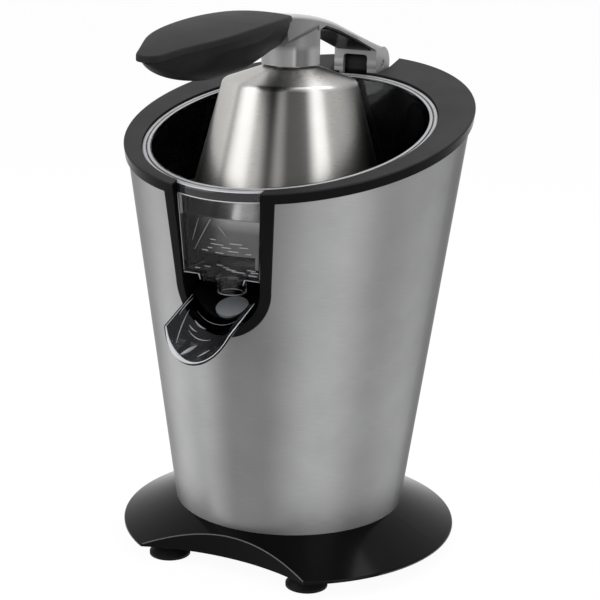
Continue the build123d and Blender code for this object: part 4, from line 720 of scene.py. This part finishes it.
def hoop(builder, inner, outer, low, high, sweep=HALF_TURN, bearing=0.0):
    """Adds an oval bar round the Z axis, sweep degrees each way from a bearing; a half turn closes it."""
    closed = sweep >= HALF_TURN
    oval = bmesh.ops.create_circle(builder, cap_ends=not closed, segments=HOOP_SIDES, radius=1.0)["verts"]
    flat = Matrix.Diagonal(((outer - inner) / 2, (high - low) / 2, 1, 1))
    middle = Matrix.Translation(((inner + outer) / 2, 0, (low + high) / 2))
    stand = middle @ Matrix.Rotation(math.pi / 2, 4, "X")
    start = Matrix.Rotation(math.radians(bearing - 90 - sweep), 4, "Z")
    bmesh.ops.transform(builder, matrix=start @ stand @ flat, verts=oval)
    profile = list({e for v in oval for e in v.link_edges}) + list({f for v in oval for f in v.link_faces})
    bmesh.ops.spin(builder, geom=profile, cent=(0, 0, 0), axis=(0, 0, 1), angle=math.radians(2 * sweep),
                   steps=max(4, int(sweep)), use_merge=closed, use_duplicate=False)


def onto_rim(builder):
    """Moves what goes round the Z axis to the bowl's axis, and leans it along the slanted rim."""
    lean = Matrix(((1, 0, 0, 0), (0, 1, 0, 0), (0, RIM_SLOPE, 1, 0), (0, 0, 0, 1)))
    to_axis = Matrix.Translation((0, BOWL_AXIS_Y, STEEL_TOP_Z))
    bmesh.ops.transform(builder, matrix=lean @ to_axis, verts=builder.verts)


print("bead sides:", BEAD_SIDES, "hoop sides:", HOOP_SIDES)

# %% [markdown]
# ### The bowl's rim
# The bowl ends in a flat flange with two raised rings, drawn in pale grey as painted highlights, which show
# as two pale bands with a dark line between them. In front, over the window, the flange turns down into a
# smoky lip with a painted highlight along its edge above and below. All of these are hoops, given by their
# radii and by their heights over the slanted rim.

# %% Rim rings, pale as painted highlights
RING_RADII = [(0.0817, 0.0837), (0.0792, 0.0809)]
RING_LOW = 0.0042
RING_HIGH = 0.0048

builder = bmesh.new()
for inner, outer in RING_RADII:
    hoop(builder, inner, outer, RING_LOW, RING_HIGH)
onto_rim(builder)
placed("bowl_rim_rings", builder, painted_highlight_grey, "housing")

# %% Window lip
LIP_RADII = (0.0833, 0.0841)
LIP_HEIGHTS = (-0.0010, 0.0044)
LIP_SWEEP = 18.4

builder = bmesh.new()
hoop(builder, *LIP_RADII, *LIP_HEIGHTS, LIP_SWEEP)
onto_rim(builder)
placed("window_lip", builder, edge_smoke, "housing")

# %% Painted highlights on the edges of the lip
LIP_EDGE_RADII = (0.0836, 0.0842)
LIP_EDGES = [(0.0040, 0.0046, 18.6), (-0.0013, -0.0008, LIP_SWEEP)]

builder = bmesh.new()
for low, high, sweep in LIP_EDGES:
    hoop(builder, *LIP_EDGE_RADII, low, high, sweep)
onto_rim(builder)
placed("window_lip_edges", builder, painted_highlight_pale, "housing")

# %% [markdown]
# ### The window's corners and floor
# The square pocket behind the window has a painted highlight, a bright upright line, at each corner, and
# one along its lower edge that steps down to the sump in the middle. The pocket widens upwards and its
# front leans, so a function gives the corner at any height. Short pale ribs on its floor are painted
# glints.

# %% Painted highlights at the window's corners
POCKET_FLOOR_Z = 0.1807
POCKET_T = 0.0022
POCKET_LOW_Z = 0.174
POCKET_TALL = 0.067
POCKET_HALF = 0.0234
POCKET_SPREAD = 0.0034
WINDOW_Y = -0.0861
WINDOW_RAKE = 0.079
CORNER_LOW_Z = 0.1800
CORNER_HIGH_Z = 0.2225
SUMP_HALF = 0.012
SUMP_DEPTH = 0.0031
SUMP_TAPER = 0.0010
BEAD_INSET = 0.0003
CORNER_BEAD_R = 0.00022
FLOOR_BEAD_R = 0.00036
SUMP_BEAD_R = 0.00026


def window_point(side, z):
    """A point just inside the window's upright corner at a height; side is -1 or 1."""
    half = POCKET_HALF + (z - POCKET_LOW_Z) / POCKET_TALL * POCKET_SPREAD - BEAD_INSET
    return Vector((side * half, WINDOW_Y - WINDOW_RAKE * (z - POCKET_FLOOR_Z), z))


builder = bmesh.new()
for side in (-1, 1):
    corner = [window_point(side, CORNER_LOW_Z), window_point(side, CORNER_HIGH_Z)]
    bead(builder, corner, [CORNER_BEAD_R, CORNER_BEAD_R])
    low = window_point(side, POCKET_FLOOR_Z - POCKET_T + BEAD_INSET)
    step = Vector((side * (SUMP_HALF + POCKET_T), low.y, low.z))
    drop = Vector((step.x - side * SUMP_TAPER, low.y, low.z - SUMP_DEPTH))
    bead(builder, [low, step, drop], [FLOOR_BEAD_R, FLOOR_BEAD_R, SUMP_BEAD_R])
placed("window_edges", builder, painted_highlight_grey, "housing")

# %% Painted glints on the pocket floor
FLOOR_GLINT_SPANS = [
    (0.003, 0.011, -0.0795), (-0.002, 0.004, -0.0770), (0.013, 0.018, -0.0765), (-0.006, -0.002, -0.0735),
    (0.009, 0.014, -0.0730), (-0.012, -0.008, -0.0700), (0.012, 0.017, -0.0690), (-0.016, -0.0125, -0.0760),
    (-0.019, -0.016, -0.0810), (0.015, 0.020, -0.0825)]
GLINT_W = 0.0005
GLINT_H = 0.0004
GLINT_ROUND = 0.00012

builder = bmesh.new()
for left, right, y in FLOOR_GLINT_SPANS:
    size = Matrix.Diagonal((right - left, GLINT_W, GLINT_H, 1))
    middle = Matrix.Translation(((left + right) / 2, y, POCKET_FLOOR_Z + GLINT_H / 2))
    made = bmesh.ops.create_cube(builder, size=1.0, matrix=middle @ size)["verts"]
    edges = list({e for v in made for e in v.link_edges})
    bmesh.ops.bevel(builder, geom=edges, offset=GLINT_ROUND, segments=2, profile=0.5, affect="EDGES",
                    material=-1)
placed("pocket_floor_glints", builder, painted_highlight_pale, "housing")

# %% [markdown]
# ### The strainer's wall behind the window
# Through the window the strainer's wall shows short bright slits and three long ribs, all pale lines that
# are painted highlights. Cutting the slits into the solid would take many faces for a few bright lines, so
# a slit's glint is a short hoop on the wall. A rib is a bead that climbs the wall, so its points are worked
# out on it. Their places are written in millimetres.

# %% Painted glints of the slits on the strainer's wall
MM = 0.001
WALL_R = 0.0756
WALL_R_Z = 0.200
WALL_DRAFT = 0.05
SLIT_HALF = 0.0002
SLIT_HALF_TALL = 0.00022
SLIT_GLINTS = [
    (7.5, 3.6, 197.3), (1.8, 2.8, 194.7), (-4.0, 4.0, 196.0), (-2.5, 2.5, 191.4), (6.0, 3.0, 193.0),
    (-8.5, 1.5, 193.6), (14.5, 1.5, 192.3), (-12.0, 2.0, 191.8), (12.0, 2.5, 195.6), (-6.5, 1.8, 198.4)]


def wall_radius(z):
    """The strainer's outer radius at a height."""
    return WALL_R + WALL_DRAFT * (z - WALL_R_Z)


builder = bmesh.new()
for x, half, z in SLIT_GLINTS:
    radius = wall_radius(z * MM)
    sweep = math.degrees(half * MM / radius)
    turn = math.degrees(math.asin(x * MM / radius))
    hoop(builder, radius - SLIT_HALF, radius + SLIT_HALF, z * MM - SLIT_HALF_TALL, z * MM + SLIT_HALF_TALL,
         sweep, turn)
bmesh.ops.translate(builder, vec=(0, BOWL_AXIS_Y, 0), verts=builder.verts)
placed("strainer_slit_glints", builder, painted_highlight_pale, "housing")

# %% Ribs on the strainer's wall, pale as painted highlights
WALL_RIBS = [
    ((-19.5, 191.0), (-8.0, 209.4)), ((-3.0, 206.0), (2.0, 201.0)), ((-21.0, 196.0), (-16.0, 209.0))]
WALL_RIB_R = 0.00018
WALL_RIB_RUNS = 6


def wall_point(x, z):
    """A point on the strainer's wall, in front of the bowl's axis."""
    return Vector((x, BOWL_AXIS_Y - math.sqrt(wall_radius(z) ** 2 - x ** 2), z))


builder = bmesh.new()
for foot, top in WALL_RIBS:
    climb = [Vector(foot).lerp(Vector(top), i / WALL_RIB_RUNS) * MM for i in range(WALL_RIB_RUNS + 1)]
    bead(builder, [wall_point(x, z) for x, z in climb], [WALL_RIB_R] * len(climb))
placed("strainer_ribs", builder, painted_highlight_grey, "housing")

# %% [markdown]
# ### The nozzle and the spout
# The nozzle under the sump has a painted highlight, a bright ring, at its end and one where it leaves the
# sump. The spout is a trough cut from a tube that slopes forward. Its bright edges are painted highlights;
# they could be traced from the solid, but they are worked out on that tube instead: a point is a distance
# along the slope and a bearing round it. The lip's painted highlight is thick on one side, where the lip
# gathers the light.

# %% Painted highlight rings on the nozzle
NOZZLE_Y = -0.0742
NOZZLE_GLINT_RINGS = [(0.0066, 0.0074, 0.1675, 0.1680), (0.0077, 0.0081, 0.1745, 0.1749)]

builder = bmesh.new()
for inner, outer, low, high in NOZZLE_GLINT_RINGS:
    hoop(builder, inner, outer, low, high)
bmesh.ops.translate(builder, vec=(0, NOZZLE_Y, 0), verts=builder.verts)
placed("nozzle_glint_rings", builder, painted_highlight_grey, "housing")

# %% The spout's tube
SPOUT_SLOPE = math.radians(21.8)
SPOUT_AXIS = Vector((0, -0.0840, 0.1762))
SPOUT_WALL_R = 0.0214
SPOUT_SHOULDER = 0.0095
SPOUT_BACK_S = 0.0040
SPOUT_LIP = Vector((0, -0.1197, 0.1375))
SPOUT_LIP_LEAN = 0.4432
ALONG = Vector((0, -math.cos(SPOUT_SLOPE), -math.sin(SPOUT_SLOPE)))
ACROSS = Vector((0, -math.sin(SPOUT_SLOPE), math.cos(SPOUT_SLOPE)))
SIDEWAYS = Vector((1, 0, 0))


def spout_point(s, turn, radius):
    """A point on the spout's tube; turn goes down from the +X side."""
    round_tube = SIDEWAYS * math.cos(turn) - ACROSS * math.sin(turn)
    return SPOUT_AXIS + ALONG * s + round_tube * radius


def lip_point(turn, radius):
    """The point of the spout's raked front edge at a bearing round the tube."""
    flat = spout_point(0, turn, radius)
    gap = SPOUT_LIP.y + SPOUT_LIP_LEAN * (flat.z - SPOUT_LIP.z) - flat.y
    return flat + ALONG * (gap / (ALONG.y - SPOUT_LIP_LEAN * ALONG.z))


print("spout's front:", [round(value, 4) for value in lip_point(math.pi / 2, SPOUT_WALL_R)])

# %% Painted highlights on the spout's edges
EDGE_TURN = math.asin(SPOUT_SHOULDER / SPOUT_WALL_R)
LIP_STEPS = 24
LIP_THIN = 0.00022
LIP_SWELL = 0.00110
LIP_SWELL_STEP = 17
LIP_SWELL_SPAN = 5.0
SIDE_BEADS = [(EDGE_TURN, 0.00032), (math.pi - EDGE_TURN, 0.00016)]

builder = bmesh.new()
turns = [EDGE_TURN + (math.pi - 2 * EDGE_TURN) * i / LIP_STEPS for i in range(LIP_STEPS + 1)]
away = [(i - LIP_SWELL_STEP) / LIP_SWELL_SPAN for i in range(LIP_STEPS + 1)]
lip = [lip_point(turn, SPOUT_WALL_R) for turn in turns]
bead(builder, lip, [LIP_THIN + LIP_SWELL * math.exp(-far ** 2) for far in away])
for turn, radius in SIDE_BEADS:
    side = [spout_point(SPOUT_BACK_S, turn, SPOUT_WALL_R), lip_point(turn, SPOUT_WALL_R)]
    bead(builder, side, [radius, radius])
placed("spout_edges", builder, painted_highlight_pale, "spout_unit")

# %% [markdown]
# Inside the spout lie soft light streaks, painted reflections. A streak is a bead on the inner wall
# that is thick in its middle and thin at both ends. A few points, each a distance along the slope and a
# bearing in degrees, steer a smooth curve, so that no streak has a corner.

# %% Painted reflection streaks in the spout
GLINT_WALL_R = 0.0204
GLINT_RUNS = 14
GLINT_END = 0.25
GLINT_LINES = [
    (0.00034, [(0.014, 143), (0.024, 139), (0.032, 132), (0.038, 126)]),
    (0.00040, [(0.0265, 84), (0.0290, 96), (0.0285, 110), (0.0255, 124)]),
    (0.00026, [(0.006, 150), (0.014, 153), (0.022, 150)]),
    (0.00110, [(0.033, 98), (0.037, 102), (0.041, 106), (0.0435, 110)]),
    (0.00024, [(0.012, 38), (0.020, 40), (0.028, 43)]),
    (0.00060, [(0.017, 126), (0.0195, 115), (0.0190, 104)]),
    (0.00013, [(0.0105, 132), (0.0130, 116), (0.0140, 98), (0.0130, 78), (0.0105, 60)]),
    (0.00045, [(0.022, 128), (0.024, 121), (0.0235, 112)]),
    (0.00050, [(0.036, 70), (0.039, 76), (0.042, 84)])]


def eased(points, share):
    """A point on the smooth curve that a few points steer."""
    while len(points) > 1:
        points = [a.lerp(b, share) for a, b in zip(points, points[1:])]
    return points[0]


builder = bmesh.new()
shares = [i / GLINT_RUNS for i in range(GLINT_RUNS + 1)]
for radius, line in GLINT_LINES:
    steer = [Vector(point) for point in line]
    curve = [eased(steer, share) for share in shares]
    path = [spout_point(s, math.radians(turn), GLINT_WALL_R) for s, turn in curve]
    swell = [GLINT_END + (1 - GLINT_END) * math.sin(math.pi * share) for share in shares]
    bead(builder, path, [radius * part for part in swell])
placed("spout_reflection_streaks", builder, painted_highlight_grey, "spout_unit")

# %% [markdown]
# ## Painted highlights on the base's edges
# The glass notch cuts the sloping base in a long arch, and a painted highlight runs along its edge, as
# along the lower edge of the plate. A bevel on the solid would change its mesh, so each highlight is a bead
# in a lighter grey. The notch is a cylinder and the base a cone, so each point of the arch follows from a
# bearing round the notch.

# %% Painted highlight along the notch's edge
BASE_R = 0.1000
BASE_EDGE_Z = 0.0110
BODY_FOOT_R = 0.0683
BODY_FOOT_Z = 0.0255
NOTCH_R = 0.1376
NOTCH_CENTRE_Y = -0.2118
NOTCH_TURN = 22.3
NOTCH_RUNS = 48
NOTCH_BEAD_R = 0.00038
EDGE_SINK = 0.00030

painted_highlight_dim = moulded(
    "painted_highlight_dim", (0.050, 0.050, 0.052), (0.080, 0.080, 0.082), 0.20, 900.0, 0.02)


def notch_point(turn):
    """A point of the arch where the notch cuts the top of the base, a little inside the sharp corner."""
    x = (NOTCH_R + EDGE_SINK) * math.sin(turn)
    y = NOTCH_CENTRE_Y + (NOTCH_R + EDGE_SINK) * math.cos(turn)
    climb = (BASE_R - math.hypot(x, y)) / (BASE_R - BODY_FOOT_R)
    return Vector((x, y, BASE_EDGE_Z + climb * (BODY_FOOT_Z - BASE_EDGE_Z) - EDGE_SINK))


builder = bmesh.new()
turns = [math.radians(NOTCH_TURN * (2 * i / NOTCH_RUNS - 1)) for i in range(NOTCH_RUNS + 1)]
bead(builder, [notch_point(turn) for turn in turns], [NOTCH_BEAD_R] * len(turns))
placed("notch_edge", builder, painted_highlight_dim, "housing")

# %% Painted highlight along the plate's edge
PLATE_TURN = 122.0
PLATE_RUNS = 120
PLATE_EDGE_Z = 0.0101
PLATE_BEAD_R = 0.00036


def plate_point(turn):
    """A point of the plate's lower edge, a little inside its rim."""
    radius = BASE_R - EDGE_SINK
    return Vector((radius * math.cos(turn), radius * math.sin(turn), PLATE_EDGE_Z))


builder = bmesh.new()
turns = [math.radians(90 - PLATE_TURN + 2 * PLATE_TURN * i / PLATE_RUNS) for i in range(PLATE_RUNS + 1)]
bead(builder, [plate_point(turn) for turn in turns], [PLATE_BEAD_R] * len(turns))
placed("plate_edge", builder, painted_highlight_dim, "housing")

# %% [markdown]
# ## The return spring
# In the solids the return spring is a plain sleeve. Here it is the coil that it stands for: a bead along
# a helix whose first and last turns lie closer. When the lever is pulled the shaft sinks two millimetres.

# %% Return spring
SPRING_R = 0.0062
SPRING_WIRE_R = 0.0006
SPRING_FOOT_Z = 0.1120
SPRING_TOP_Z = 0.1230
SPRING_TURNS = 6
SPRING_TURN_RUNS = 28
SPRING_END_EASE = 0.10


def spring_point(share):
    """A point of the coil's middle line, from its foot at 0 to its top at 1."""
    low = SPRING_FOOT_Z + SPRING_WIRE_R
    high = SPRING_TOP_Z - SPRING_WIRE_R
    climb = share - SPRING_END_EASE * math.sin(2 * math.pi * share)
    turn = 2 * math.pi * SPRING_TURNS * share
    x = SPRING_R * math.cos(turn)
    y = PRESS_AXIS_Y + SPRING_R * math.sin(turn)
    return Vector((x, y, low + (high - low) * climb))


builder = bmesh.new()
runs = SPRING_TURNS * SPRING_TURN_RUNS
bead(builder, [spring_point(i / runs) for i in range(runs + 1)], [SPRING_WIRE_R] * (runs + 1))
coil = placed("return_coil", builder, plain_steel, "housing")
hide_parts("return_spring")
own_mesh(coil)
